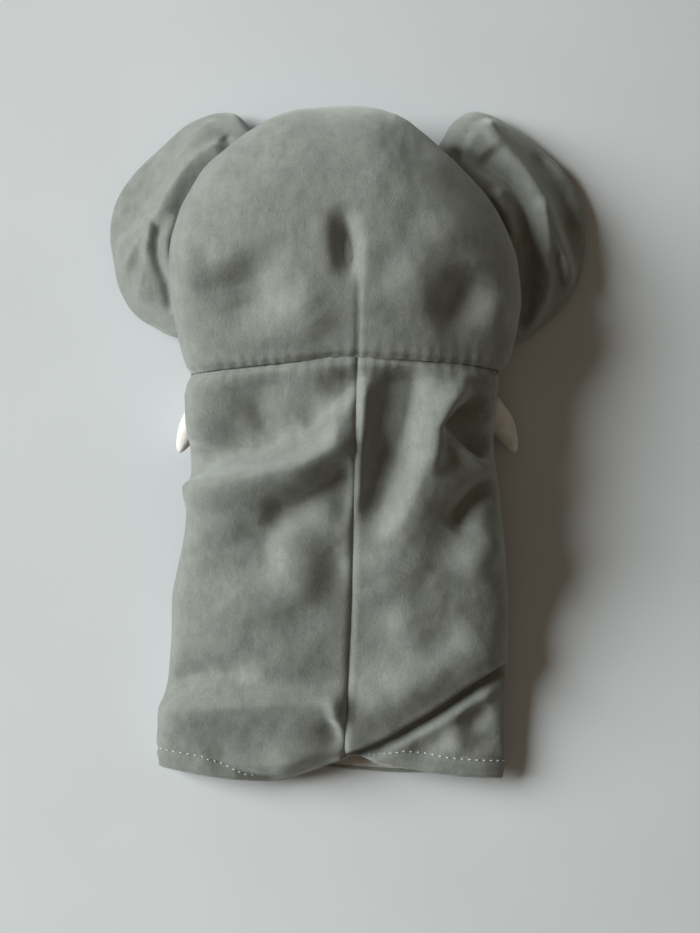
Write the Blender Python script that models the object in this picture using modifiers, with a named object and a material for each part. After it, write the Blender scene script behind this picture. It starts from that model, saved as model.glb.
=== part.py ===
"""Elephant hand puppet: a plush sleeve with a stuffed head, a soft jaw, a trunk, tusks and ears.

It lies face down. +Y runs from the hem to the top of the head, +Z is up, and the ground is z = 0.
Every length in this file is in millimetres until a mesh or an object is made.
"""

import math

import bmesh
import bpy
import numpy as np
from mathutils import Matrix, Vector

MM = 0.001
GAP = 0.3
CLOTH = 1.5
LINING = 0.8
BOARD = 1.2

# Head, as a rounded form between the neck seam and the crown.
HEAD_TOP_Y = 142.5
HEAD_MID_Y = 75.0
NECK_Y = 32.0
HEAD_HALF_WIDTH = 74.0
HEAD_LOWER_REACH = 95.0
HEAD_SEAM_Z = 29.0
SIDE_SEAM_GAP = 1.0
HEAD_BACK_RISE = 40.0
NECK_BACK_RISE = 31.0
GUSSET_HALF_WIDTH = 20.0
CHEEK_DEPTH = 31.0
CROWN_FLATNESS = 0.6
FACE_DEPTH = ((32, 12.5), (62, 12.5), (80, CHEEK_DEPTH), (143, CHEEK_DEPTH))

# Finger pocket: (y, half width, lowest z, highest z).
POCKET = ((32.3, 38, 46, 56), (50, 40, 41, 60), (75, 38, 39, 62), (95, 30, 38, 57), (105, 16, 42, 52))

# Sleeve, from the neck seam to the hem: (y, value) at each station.
SLEEVE_STATIONS = (31.7, 15, -2, -20, -33, -45, -60, -76, -95, -120, -142.5)
SLEEVE_HALF_WIDTH = ((-142.5, 74), (-95, 73), (-60, 69), (-33, 65), (-2, 64), (31.7, 65.5))
SLEEVE_SEAM_Z = ((-142.5, 6), (-76, 6), (-45, 11), (-20, 20), (-2, 22), (31.7, 29))
SLEEVE_BACK_Z = ((-142.5, 19), (-110, 26), (-76, 36), (-45, 50), (-20, 59), (31.7, 60))
SLEEVE_FRONT_Z = ((-142.5, -2), (-78, -2), (-60, 12), (-42, 29), (-20, 47), (31.7, 47))
SLEEVE_SIDE_BAND = ((-142.5, 1.5), (-76, 1.5), (-45, 7), (31.7, 8))
LINING_CLEARANCE = 2.1
STITCH_Y = -134.5
STITCH_RADIUS = 0.25

# Mouth: the palate lies in a plane that slopes down from the throat to the lip.
MOUTH_SLOPE = math.radians(20)
THROAT_Y = 28.0
PALATE_Z = 34.3
PALATE_LENGTH = 42.0
PALATE_HALF_WIDTH = 26.0
JAW_LENGTH = 41.0
JAW_HALF_WIDTH = 24.0
JAW_COVER_HEIGHT = 5.0
JAW_PIVOT_HEIGHT = 4.0
THROAT_TOP_Z = 44.0
THROAT_SETBACK = 1.2
THROAT_CLEARANCE = 0.8
THROAT_THICKNESS = 1.4

# Muzzle: (y, half width, lowest z). Its top follows the palate to the lip.
MUZZLE = ((31.8, 33, 15.2), (20, 32, 15), (8, 29, 15), (-3, 23, 15), (-9, 16, 15.2))
LIP_Y = -13.5
LIP_DROP = 1.2

# Trunk and its bending tip: half widths and heights at their ends.
TRUNK_PIVOT_Y = 49.0
TRUNK_ROOT_RADIUS = 12.5
TRUNK_HEIGHT = 14.0
TRUNK_END_Y = 15.0
TIP_PIVOT_Y = 4.0
TIP_ROOT_RADIUS = 9.7
TIP_ROOT_HEIGHT = 12.6
TIP_END_Y = -42.0
TIP_END_RADIUS = 7.5
TIP_END_HEIGHT = 11.0

# Ears: the outer outline of the right ear, as (x, y) from the crown to the cheek.
EAR_OUTLINE = (
    (46, 133), (52, 140), (62, 140), (76, 129), (90, 113), (99, 96),
    (100.4, 83), (96, 68), (86, 56), (75, 47),
)
EAR_INNER_Y = (58, 72, 86, 100, 112, 123)
EAR_CENTRE = (81, 94)
EAR_ROOT_Z = 14.0
EAR_RIM_Z = 5.4
EAR_REACH = 34.0
EAR_HEAD_GAP = 2.2
EAR_HINGE = ((73.0, 56.0), (60.5, 128.0))

TUSK_PATH = ((35.6, 24, 21), (63, 22, 14), (72, -3, 10))
TUSK_ROOT_RADIUS = 8.0
TUSK_TIP_RADIUS = 1.2

EYE_X = 46.0
EYE_Y = 84.0
EYE_RADIUS = 5.5
EYE_HEIGHT = 4.0
EYE_STANDOFF = 0.7
SHANK_RADIUS = 1.6
SHANK_LENGTH = 8.0
WASHER_RADIUS = 6.0
WASHER_BORE = 1.95
WASHER_DEPTHS = (3.7, 4.9)

NECK_HINGE = (0.0, NECK_Y, 60.0)
SIDES = (("left", -1), ("right", 1))


def clear_scene():
    for thing in list(bpy.data.objects):
        bpy.data.objects.remove(thing, do_unlink=True)


def new_collection(name):
    made = bpy.data.collections.new(name)
    bpy.context.scene.collection.children.link(made)
    return made


clear_scene()
PARTS = new_collection("elephant_hand_puppet")
CUTTERS = new_collection("cutters")


def material(name, colour, roughness):
    made = bpy.data.materials.new(name)
    made.use_nodes = True
    shader = made.node_tree.nodes["Principled BSDF"]
    shader.inputs["Base Color"].default_value = (*colour, 1)
    shader.inputs["Roughness"].default_value = roughness
    shader.inputs["Metallic"].default_value = 0
    made.diffuse_color = (*colour, 1)
    return made


PLUSH = material("grey_green_plush", (0.30, 0.34, 0.31), 0.95)
EAR_PLUSH = material("ear_front_plush", (0.36, 0.40, 0.37), 0.95)
LINING_CLOTH = material("white_lining", (0.80, 0.80, 0.78), 0.9)
FILLING = material("polyester_filling", (0.85, 0.85, 0.84), 1.0)
MOUTH_CLOTH = material("pink_mouth_cloth", (0.72, 0.38, 0.40), 0.9)
MOUTH_BOARD = material("grey_board", (0.45, 0.42, 0.38), 0.8)
TUSK_FELT = material("white_felt", (0.85, 0.83, 0.78), 0.95)
EYE_BLACK = material("black_gloss", (0.01, 0.01, 0.012), 0.12)
WASHER_WHITE = material("white_plastic", (0.80, 0.80, 0.80), 0.5)
THREAD = material("pale_thread", (0.62, 0.66, 0.63), 0.7)


# Numbers and outlines


def at(table, y):
    """The value of a (y, value) table at y, on straight lines between its stations."""
    stations = sorted(table)
    return float(np.interp(y, [s[0] for s in stations], [s[1] for s in stations]))


def crown(share, power):
    """The height of a rounded profile, 1 at its middle and 0 at share 1 and beyond."""
    return max(1 - min(abs(share), 1) ** power, 0) ** (1 / power)


def inset(outline, distance):
    """A closed outline moved inwards, for an outline that runs anticlockwise."""
    points = np.array(outline, float)
    before = points - np.roll(points, 1, axis=0)
    after = np.roll(points, -1, axis=0) - points
    before /= np.linalg.norm(before, axis=1)[:, None]
    after /= np.linalg.norm(after, axis=1)[:, None]
    inward = np.stack([-(before + after)[:, 1], (before + after)[:, 0]], axis=1)
    inward /= np.linalg.norm(inward, axis=1)[:, None]
    half_turn = np.sqrt(np.clip((1 + (before * after).sum(axis=1)) / 2, 0.5, 1))
    return points + inward * (distance / half_turn)[:, None]


def smooth_curve(points, per_span):
    """Points on a Catmull-Rom curve through an open list of points."""
    ends = [points[0], *points, points[-1]]
    found = []
    for i in range(1, len(ends) - 2):
        p0, p1, p2, p3 = (np.array(p, float) for p in ends[i - 1 : i + 3])
        for t in np.arange(per_span) / per_span:
            bend = 2 * p0 - 5 * p1 + 4 * p2 - p3
            twist = 3 * p1 - p0 - 3 * p2 + p3
            found.append(0.5 * (2 * p1 + (p2 - p0) * t + bend * t**2 + twist * t**3))
    found.append(np.array(points[-1], float))
    return found


# Meshes and objects


def loft(rings, closed=True):
    """A surface through rings of points in order. A ring of one point closes an end."""
    mesh = bmesh.new()
    rows = [[mesh.verts.new(Vector(p) * MM) for p in ring] for ring in rings]
    for low, high in zip(rows, rows[1:]):
        count = max(len(low), len(high))
        for i in range(count if closed else count - 1):
            j = (i + 1) % count
            near = [low[i % len(low)], low[j % len(low)]]
            far = [high[j % len(high)], high[i % len(high)]]
            mesh.faces.new(list(dict.fromkeys(near + far)))
    return mesh


def face_away(mesh, inside):
    """Turns every face away from a point inside the form."""
    bmesh.ops.recalc_face_normals(mesh, faces=mesh.faces)
    middle = Vector(inside) * MM
    facing = sum((f.calc_center_median() - middle).dot(f.normal) * f.calc_area() for f in mesh.faces)
    if facing < 0:
        bmesh.ops.reverse_faces(mesh, faces=mesh.faces)
    return mesh


def cut_to(mesh, planes):
    """Keeps what lies on the side of each (point, direction) plane that its direction points to."""
    for point, direction in planes:
        bmesh.ops.bisect_plane(
            mesh,
            geom=mesh.verts[:] + mesh.edges[:] + mesh.faces[:],
            dist=1e-7,
            plane_co=Vector(point) * MM,
            plane_no=Vector(direction),
            clear_inner=True,
        )
    return mesh


def shrink(mesh, distance):
    """Moves a surface inwards, against its outward normals, by an even thickness."""
    mesh.normal_update()
    moves = [(v, v.normal * (distance * MM * v.calc_shell_factor())) for v in mesh.verts]
    for vert, move in moves:
        vert.co -= move
    return mesh


def cap_holes(mesh):
    rims = [e for e in mesh.edges if e.is_boundary]
    bmesh.ops.holes_fill(mesh, edges=rims, sides=0)
    bmesh.ops.recalc_face_normals(mesh, faces=mesh.faces)
    return mesh


def add_object(name, mesh, finish, place=None):
    data = bpy.data.meshes.new(name)
    mesh.to_mesh(data)
    mesh.free()
    data.materials.append(finish)
    data.shade_smooth()
    data.set_sharp_from_angle(angle=math.radians(40))
    made = bpy.data.objects.new(name, data)
    if place is not None:
        made.matrix_world = place
    PARTS.objects.link(made)
    return made


def add_shell(name, mesh, finish, thickness, place=None):
    """An open surface with its thickness on the inner side."""
    made = add_object(name, mesh, finish, place)
    solid = made.modifiers.new("thickness", "SOLIDIFY")
    solid.thickness = thickness * MM
    solid.offset = -1
    return made


def add_cutter(name, mesh, place=None):
    """A tool body, kept out of the parts' collection."""
    made = add_object(name, mesh, FILLING, place)
    PARTS.objects.unlink(made)
    CUTTERS.objects.link(made)
    made.hide_render = True
    made.display_type = "WIRE"
    return made


def cut(body, tool):
    boolean = body.modifiers.new(tool.name, "BOOLEAN")
    boolean.operation = "DIFFERENCE"
    boolean.solver = "EXACT"
    boolean.object = tool


def add_curve(name, finish, bevel_radius):
    data = bpy.data.curves.new(name, "CURVE")
    data.dimensions = "3D"
    data.bevel_depth = bevel_radius * MM
    data.bevel_resolution = 2
    data.use_fill_caps = True
    data.materials.append(finish)
    made = bpy.data.objects.new(name, data)
    PARTS.objects.link(made)
    return made


def add_spline(thing, points, radii):
    spline = thing.data.splines.new("POLY")
    spline.points.add(len(points) - 1)
    for node, point, radius in zip(spline.points, points, radii):
        node.co = (*(Vector(point) * MM), 1)
        node.radius = radius


def add_plate(name, outline, thickness, finish, place):
    """A flat plate whose lower face is in the plane z = 0 of its place."""
    data = bpy.data.curves.new(name, "CURVE")
    data.dimensions = "2D"
    data.fill_mode = "BOTH"
    data.extrude = thickness * MM / 2
    spline = data.splines.new("POLY")
    spline.points.add(len(outline) - 1)
    for node, (x, y) in zip(spline.points, outline):
        node.co = (x * MM, y * MM, 0, 1)
    spline.use_cyclic_u = True
    data.materials.append(finish)
    made = bpy.data.objects.new(name, data)
    made.matrix_world = place @ Matrix.Translation((0, 0, thickness * MM / 2))
    PARTS.objects.link(made)
    return made


def turned_profile(profile, closed):
    """The outline, as (radius, z) points, that a Screw modifier turns about Z."""
    mesh = bmesh.new()
    verts = [mesh.verts.new((r * MM, 0, z * MM)) for r, z in profile]
    for first, second in zip(verts, verts[1:] + (verts[:1] if closed else [])):
        mesh.edges.new((first, second))
    return mesh


def add_turned(name, profile, steps, finish, place, closed=False):
    made = add_object(name, turned_profile(profile, closed), finish, place)
    screw = made.modifiers.new("turn", "SCREW")
    screw.steps = steps
    screw.render_steps = steps
    screw.use_merge_vertices = True
    screw.merge_threshold = 1e-6
    return made


# Head form


def head_fullness(y):
    reach = HEAD_TOP_Y - HEAD_MID_Y if y > HEAD_MID_Y else HEAD_LOWER_REACH
    return math.sqrt(max(1 - ((y - HEAD_MID_Y) / reach) ** 2, 0))


def head_back_rise(y):
    if y > HEAD_MID_Y:
        return HEAD_BACK_RISE * head_fullness(y)
    share = (HEAD_MID_Y - y) / (HEAD_MID_Y - NECK_Y)
    return HEAD_BACK_RISE - (HEAD_BACK_RISE - NECK_BACK_RISE) * share**1.5


def face_depth(y):
    return at(FACE_DEPTH, y) * (head_fullness(y) ** CROWN_FLATNESS if y > EYE_Y else 1)


def cheek_half_width(y, z):
    """The half width of the cheeks at a height below the side seam."""
    return HEAD_HALF_WIDTH * head_fullness(y) * crown((HEAD_SEAM_Z - z) / CHEEK_DEPTH, 2)


def head_section(y, steps=20):
    """The head form's closed section at y, anticlockwise seen from the crown, as (x, z) points."""
    width = HEAD_HALF_WIDTH * head_fullness(y)
    points = []
    for i in range(2 * steps):
        turn = math.pi * i / steps
        x = width * math.cos(turn)
        if i <= steps:
            z = HEAD_SEAM_Z + head_back_rise(y) * math.sin(turn) ** 0.9
        else:
            z = max(HEAD_SEAM_Z - face_depth(y) * abs(math.sin(turn)), 0)
        points.append((x, z))
    return points


def head_form(steps=20):
    """The head's outer surface, open at the neck and closed at the crown."""
    lower = [NECK_Y, 45, 58, 62, 70, 80, 88]
    reach = HEAD_TOP_Y - HEAD_MID_Y
    upper = [HEAD_MID_Y + reach * math.sin(math.radians(a)) for a in (24, 36, 48, 60, 71, 81)]
    rings = [[(x, y, z) for x, z in head_section(y, steps)] for y in lower + upper]
    rings.append([(0, HEAD_TOP_Y, HEAD_SEAM_Z)])
    return face_away(loft(rings), (0, HEAD_MID_Y, HEAD_SEAM_Z))


def head_panel(name, planes):
    return add_shell(name, cut_to(head_form(), planes), PLUSH, CLOTH)


def make_head_skin():
    half = GAP / 2
    above = ((0, 0, HEAD_SEAM_Z + SIDE_SEAM_GAP / 2), (0, 0, 1))
    below = ((0, 0, HEAD_SEAM_Z - SIDE_SEAM_GAP / 2), (0, 0, -1))
    cheeks = []
    for side, sign in SIDES:
        centre = ((sign * half, 0, 0), (sign, 0, 0))
        head_panel(f"head_back_{side}", (above, centre))
        edge = ((sign * (GUSSET_HALF_WIDTH + half), 0, 0), (sign, 0, 0))
        cheeks.append(head_panel(f"cheek_{side}", (below, edge)))
    edges = [((s * (GUSSET_HALF_WIDTH - half), 0, 0), (-s, 0, 0)) for _, s in SIDES]
    head_panel("forehead_gusset", (below, *edges))
    return cheeks


def make_throat_panel():
    """The panel that closes the head between the sleeve's front and the muzzle."""
    outline = inset(head_section(NECK_Y + THROAT_SETBACK), CLOTH + THROAT_CLEARANCE)
    section = [p for p in outline if p[1] < THROAT_TOP_Z]
    right = [p for p in section if p[0] > 0]
    left = [p for p in section if p[0] <= 0]
    right.sort(key=lambda p: -p[1])
    left.sort(key=lambda p: p[1])
    face_y = (NECK_Y + THROAT_SETBACK + 0.6) * MM
    across = Matrix.Translation((0, face_y, 0)) @ Matrix.Rotation(math.pi / 2, 4, "X")
    add_plate("throat_panel", right + left, THROAT_THICKNESS, PLUSH, across)


def pocket_rings(grow, steps=14):
    rings = []
    for y, half_width, low, high in POCKET:
        middle, rise = (low + high) / 2, (high - low) / 2 + grow
        ring = []
        for i in range(2 * steps):
            turn = math.pi * i / steps
            ring.append((
                (half_width + grow) * math.cos(turn),
                y + (grow if y == POCKET[-1][0] else 0),
                middle + rise * math.copysign(abs(math.sin(turn)) ** 0.9, math.sin(turn)),
            ))
        rings.append(ring)
    y, _, low, high = POCKET[-1]
    rings.append([(0, y + 3 + grow, (low + high) / 2)])
    return rings


def make_head_inside():
    """The filling, with its room for the finger pocket, and the pocket itself."""
    mesh = shrink(head_form(), CLOTH + GAP)
    cap_holes(cut_to(mesh, [((0, 34.2, 0), (0, 1, 0))]))
    filling = add_object("head_stuffing", face_away(mesh, (0, HEAD_MID_Y, HEAD_SEAM_Z)), FILLING)
    room = [[(x, 30, z) for x, y, z in pocket_rings(GAP)[0]], *pocket_rings(GAP)]
    tool = cap_holes(loft(room))
    cut(filling, add_cutter("pocket_room", face_away(tool, (0, 70, 50))))
    add_shell("finger_pocket", face_away(loft(pocket_rings(0)), (0, 70, 50)), LINING_CLOTH, LINING)
    return filling


# Eyes


def eye_place(sign):
    """The frame of an eye: its origin on the face and its Z along the outward normal."""
    width, depth = HEAD_HALF_WIDTH * head_fullness(EYE_Y), face_depth(EYE_Y)
    z = HEAD_SEAM_Z - depth * crown(EYE_X / width, 2)
    outward = Vector((sign * EYE_X / width**2, 0, (z - HEAD_SEAM_Z) / depth**2)).normalized()
    turn = outward.to_track_quat("Z", "Y").to_matrix().to_4x4()
    return Matrix.Translation(Vector((sign * EYE_X, EYE_Y, z)) * MM) @ turn


def rod(radius, length):
    """A round bar along Z, centred on the origin."""
    mesh = bmesh.new()
    bmesh.ops.create_cone(
        mesh,
        cap_ends=True,
        segments=20,
        radius1=radius * MM,
        radius2=radius * MM,
        depth=length * MM,
    )
    return mesh


def make_eyes(cheeks, filling):
    dome = [
        (EYE_RADIUS * math.sin(math.radians(a)), EYE_STANDOFF + EYE_HEIGHT * math.cos(math.radians(a)))
        for a in range(0, 91, 15)
    ]
    shank = [(SHANK_RADIUS, EYE_STANDOFF), (SHANK_RADIUS, -SHANK_LENGTH), (0, -SHANK_LENGTH)]
    near, far = WASHER_DEPTHS
    washer = [(WASHER_RADIUS, -near), (WASHER_RADIUS, -far), (WASHER_BORE, -far), (WASHER_BORE, -near)]
    for (side, sign), cheek in zip(SIDES, cheeks):
        place = eye_place(sign)
        add_turned(f"eye_{side}", dome + shank, 20, EYE_BLACK, place)
        add_turned(f"eye_washer_{side}", washer, 20, WASHER_WHITE, place, closed=True)
        cut(cheek, add_cutter(f"shank_hole_{side}", rod(WASHER_BORE, 12), place))
        cut(filling, add_cutter(f"washer_room_{side}", rod(WASHER_RADIUS + 0.6, 18), place))


# Muzzle and mouth


def palate_height(y):
    return PALATE_Z - (THROAT_Y - y) * math.tan(MOUTH_SLOPE)


def muzzle_rings(depth, steps=10):
    """Open sections of the muzzle's sides and underside, moved inwards by depth."""
    rings = []
    for y, half_width, low in MUZZLE:
        top = palate_height(y) - GAP
        width, drop = half_width - depth, top - low - depth
        turns = np.linspace(0, math.pi, steps)
        rings.append([(width * math.cos(t), y, top - drop * math.sin(t) ** 0.5) for t in turns])
    return rings


def make_muzzle():
    lip = [(0, LIP_Y, palate_height(LIP_Y) - GAP - LIP_DROP)]
    skin = loft([*muzzle_rings(0), lip], closed=False)
    add_shell("muzzle_cover", face_away(skin, (0, 10, 26)), PLUSH, CLOTH)
    rings = muzzle_rings(CLOTH + 2 * GAP)
    add_object("muzzle_stuffing", cap_holes(loft(rings[:-1])), FILLING)


def tongue(half_width, length, steps=14):
    """A half oval outline: straight at the throat and round at the lip, along -Y from the origin."""
    turns = np.linspace(0, math.pi, steps)
    return [(half_width * math.cos(t), -length * math.sin(t) ** 0.85) for t in turns]


def mouth_place(height):
    """The frame at a height above the palate's plane, at the throat."""
    throat = Matrix.Translation(Vector((0, THROAT_Y, PALATE_Z)) * MM)
    slope = Matrix.Rotation(MOUTH_SLOPE, 4, "X")
    return throat @ slope @ Matrix.Translation((0, 0, height * MM))


def make_mouth():
    heights = [0]
    for thickness in (BOARD, LINING, LINING, BOARD):
        heights.append(heights[-1] + thickness + GAP)
    palate = tongue(PALATE_HALF_WIDTH, PALATE_LENGTH)
    jaw = tongue(JAW_HALF_WIDTH, JAW_LENGTH)
    add_plate("palate_board", palate, BOARD, MOUTH_BOARD, mouth_place(heights[0]))
    add_plate("palate_lining", palate, LINING, MOUTH_CLOTH, mouth_place(heights[1]))
    add_plate("jaw_lining", jaw, LINING, MOUTH_CLOTH, mouth_place(heights[2]))
    add_plate("jaw_board", jaw, BOARD, MOUTH_BOARD, mouth_place(heights[3]))
    dome = bmesh.new()
    size = Matrix.Diagonal(Vector((JAW_HALF_WIDTH, JAW_LENGTH, JAW_COVER_HEIGHT, 1000)) * MM)
    bmesh.ops.create_uvsphere(dome, u_segments=28, v_segments=14, radius=1, matrix=size)
    cut_to(dome, [((0, -0.2, 0), (0, -1, 0)), ((0, 0, 0.2), (0, 0, 1))])
    add_shell("jaw_cover", face_away(dome, (0, -10, 0)), PLUSH, 1.1, mouth_place(heights[4] + GAP))


# Trunk


def flat_ring(y, half_width, height, depth, steps=9):
    """A section that stands on the ground, moved inwards by depth."""
    ring = []
    for i in range(2 * steps):
        turn = math.pi * i / steps
        across, up = math.cos(turn), math.sin(turn)
        ring.append((
            (half_width - depth) * math.copysign(abs(across) ** 0.8, across),
            y,
            height / 2 + (height / 2 - depth) * math.copysign(abs(up) ** 0.8, up),
        ))
    return ring


def round_end(centre, radius, height, turns, depth, way):
    """Rings of an end that is a half circle seen from above."""
    rings = []
    for degrees in turns:
        turn = math.radians(degrees)
        thick = max(height * math.cos(turn) ** 0.4, 3.0)
        lift = (height - thick) / 2
        y = centre + way * (radius - depth) * math.sin(turn)
        ring = flat_ring(y, radius * math.cos(turn), thick, depth)
        rings.append([(px, py, pz + lift) for px, py, pz in ring])
    return rings


def trunk_rings(depth):
    rings = round_end(TRUNK_PIVOT_Y, TRUNK_ROOT_RADIUS, TRUNK_HEIGHT, (60, 40, 20, 0), depth, 1)
    rings.append(flat_ring(TRUNK_END_Y, 10.4, 12.8, depth))
    return rings


def tip_rings(depth, root_turns, end_turns):
    rings = round_end(TIP_PIVOT_Y, TIP_ROOT_RADIUS, TIP_ROOT_HEIGHT, root_turns, depth, 1)
    end = TIP_END_Y + TIP_END_RADIUS
    rings += round_end(end, TIP_END_RADIUS, TIP_END_HEIGHT, end_turns, depth, -1)
    return rings


def make_trunk():
    """Each half is a cover that is open where the other half meets it, around its own filling."""
    depth = 1.2
    root = TRUNK_PIVOT_Y + TRUNK_ROOT_RADIUS
    rings = [[(0, root, TRUNK_HEIGHT / 2)], *trunk_rings(0)]
    add_shell("trunk_cover", face_away(loft(rings), (0, 35, 7)), PLUSH, depth)
    mesh = cap_holes(loft(trunk_rings(depth + GAP)))
    add_object("trunk_stuffing", mesh, FILLING)
    rings = tip_rings(0, (50, 25, 0), (0, 25, 50, 72))
    rings.append([(0, TIP_END_Y, TIP_END_HEIGHT / 2)])
    add_shell("trunk_tip_cover", face_away(loft(rings), (0, -15, 6)), PLUSH, depth)
    mesh = cap_holes(loft(tip_rings(depth + GAP, (50, 25, 0), (0, 25, 50))))
    add_object("trunk_tip_stuffing", mesh, FILLING)


# Tusks


def make_tusks():
    steps = 9
    root, bend, tip = (np.array(p, float) for p in TUSK_PATH)
    shares = np.linspace(0, 1, steps)
    radii = [TUSK_TIP_RADIUS + (TUSK_ROOT_RADIUS - TUSK_TIP_RADIUS) * (1 - t**1.3) for t in shares]
    path = [(1 - t) ** 2 * root + 2 * t * (1 - t) * bend + t**2 * tip for t in shares]
    for side, sign in SIDES:
        tusk = add_curve(f"tusk_{side}", TUSK_FELT, 1)
        add_spline(tusk, [(sign * x, y, z) for x, y, z in path], radii)


# Ears


def ear_outline():
    """The right ear's closed outline: the outer curve, then back along the side of the head."""
    outer = smooth_curve(EAR_OUTLINE, 2)
    inner = [(cheek_half_width(y, EAR_ROOT_Z + 3) + EAR_HEAD_GAP, y) for y in EAR_INNER_Y]
    return [tuple(p) for p in outer] + inner


def ear_middle_z(x, y):
    """The ear's height: level at the head and falling to its rim."""
    (x0, y0), (x1, y1) = EAR_HINGE
    away = ((x - x0) * (y1 - y0) - (y - y0) * (x1 - x0)) / math.hypot(x1 - x0, y1 - y0)
    return EAR_ROOT_Z - (EAR_ROOT_Z - EAR_RIM_Z) * min(max(away / EAR_REACH, 0), 1)


def ear_rings(sign, outer_scale, half_thickness, way):
    """Rings of one domed side of an ear, from its rim to its middle."""
    cx, cy = EAR_CENTRE
    rings = []
    for share in (1, 0.82, 0.58, 0.3, 0):
        scale = share * outer_scale
        points = [(cx + (x - cx) * scale, cy + (y - cy) * scale) for x, y in ear_outline()]
        rise = way * half_thickness(share)
        ring = [(sign * x, y, ear_middle_z(x, y) + rise) for x, y in points]
        rings.append(ring if share else ring[:1])
    return rings


def make_ears():
    def skin(share):
        return 1.7 + 3.1 * (1 - share**2)

    def batting(share):
        return 0.2 + 2.2 * (1 - share**2)

    for side, sign in SIDES:
        above = face_away(loft(ear_rings(sign, 1, skin, 1)), (sign * 80, 94, 0))
        add_shell(f"ear_back_{side}", above, PLUSH, 1.2)
        below = face_away(loft(ear_rings(sign, 1, skin, -1)), (sign * 80, 94, 20))
        add_shell(f"ear_front_{side}", below, EAR_PLUSH, 1.2)
        over = ear_rings(sign, 0.94, batting, 1)
        under = ear_rings(sign, 0.94, batting, -1)
        mesh = loft([*over[::-1], *under])
        add_object(f"ear_batting_{side}", face_away(mesh, (sign * 80, 94, 10)), FILLING)


# Sleeve


def sleeve_back_arc(y, steps):
    """The sleeve's back at y, from the right seam over the top to the left one, as (x, z) points."""
    width, seam, top = at(SLEEVE_HALF_WIDTH, y), at(SLEEVE_SEAM_Z, y), at(SLEEVE_BACK_Z, y)
    turns = np.linspace(0, math.pi, steps + 1)
    return [(width * math.cos(t), seam + (top - seam) * math.sin(t) ** 0.85) for t in turns]


def sleeve_front_arc(y, steps):
    """The sleeve's front at y, from the left seam to the right one, flat where it lies down."""
    seam, middle = at(SLEEVE_SEAM_Z, y), at(SLEEVE_FRONT_Z, y)
    edge = at(SLEEVE_HALF_WIDTH, y) - CLOTH - 2 * GAP
    width = edge - at(SLEEVE_SIDE_BAND, y)
    points = [(-edge, seam)]
    for t in np.linspace(math.pi, 0, steps + 1):
        points.append((width * math.cos(t), max(seam + (middle - seam) * math.sin(t) ** 0.6, 0)))
    points.append((edge, seam))
    return points


def make_sleeve_back():
    for side, sign in SIDES:
        rows = []
        for y in SLEEVE_STATIONS:
            arc = [(x, z) for x, z in sleeve_back_arc(y, 24) if x * sign > -1e-6]
            rows.append([(sign * GAP / 2 if abs(x) < 1e-6 else x, y, z) for x, z in arc])
        mesh = face_away(loft(rows, closed=False), (0, -50, -100))
        add_shell(f"sleeve_back_{side}", mesh, PLUSH, CLOTH)


def make_sleeve_front():
    rows = [[(x, y, z) for x, z in sleeve_front_arc(y, 22)] for y in SLEEVE_STATIONS]
    mesh = face_away(loft(rows, closed=False), (0, -50, 500))
    add_shell("sleeve_front", mesh, PLUSH, CLOTH)


def make_sleeve_lining():
    rings = []
    for y in SLEEVE_STATIONS:
        outline = sleeve_back_arc(y, 24)[1:-1] + sleeve_front_arc(y, 22)[3:-3]
        rings.append([(x, y, z) for x, z in outline])
    mesh = shrink(face_away(loft(rings), (0, -90, 14)), LINING_CLEARANCE)
    add_shell("sleeve_lining", mesh, LINING_CLOTH, LINING)


def make_hem_stitching():
    """The line of thread round the back of the hem, just proud of the cloth."""
    arc = inset(sleeve_back_arc(STITCH_Y, 24), -(GAP + STITCH_RADIUS + 0.1))[2:-2]
    thread = add_curve("hem_stitching", THREAD, 1)
    add_spline(thread, [(x, STITCH_Y, z) for x, z in arc], [STITCH_RADIUS] * len(arc))


# Moving assemblies


def hinge_empty(name, point, nodes):
    """An empty on a joint's axis, with the pieces that turn about it as its children."""
    empty = bpy.data.objects.new(name, None)
    empty.location = Vector(point) * MM
    empty.empty_display_size = 0.01
    PARTS.objects.link(empty)
    bpy.context.view_layer.update()
    for node in nodes:
        child = bpy.data.objects[node]
        child.parent = empty
        child.matrix_parent_inverse = empty.matrix_world.inverted()


def make_hinges():
    sleeve = ("sleeve_back_left", "sleeve_back_right", "sleeve_front", "sleeve_lining", "hem_stitching")
    hinge_empty("neck_hinge", NECK_HINGE, sleeve)
    jaw_axis = mouth_place(JAW_PIVOT_HEIGHT).translation / MM
    hinge_empty("jaw_hinge", jaw_axis, ("jaw_cover", "jaw_board", "jaw_lining"))
    hinge_empty("trunk_hinge", (0, TRUNK_PIVOT_Y, 7), ("trunk_cover", "trunk_stuffing"))
    hinge_empty("trunk_tip_hinge", (0, TIP_PIVOT_Y, 6), ("trunk_tip_cover", "trunk_tip_stuffing"))
    (x0, y0), (x1, y1) = EAR_HINGE
    for side, sign in SIDES:
        middle = (sign * (x0 + x1) / 2, (y0 + y1) / 2, EAR_ROOT_Z)
        layers = [f"ear_{layer}_{side}" for layer in ("back", "front", "batting")]
        hinge_empty(f"ear_hinge_{side}", middle, layers)


def main():
    cheeks = make_head_skin()
    make_throat_panel()
    filling = make_head_inside()
    make_eyes(cheeks, filling)
    make_muzzle()
    make_mouth()
    make_trunk()
    make_tusks()
    make_ears()
    make_sleeve_back()
    make_sleeve_front()
    make_sleeve_lining()
    make_hem_stitching()
    make_hinges()


main()
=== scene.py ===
"""Looks of the elephant hand puppet: plush cloth, filling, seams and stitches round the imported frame.

It lies face down. +Y runs from the hem to the crown and +Z is up. Lengths are in millimetres until a
mesh is made.
"""

import math

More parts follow.
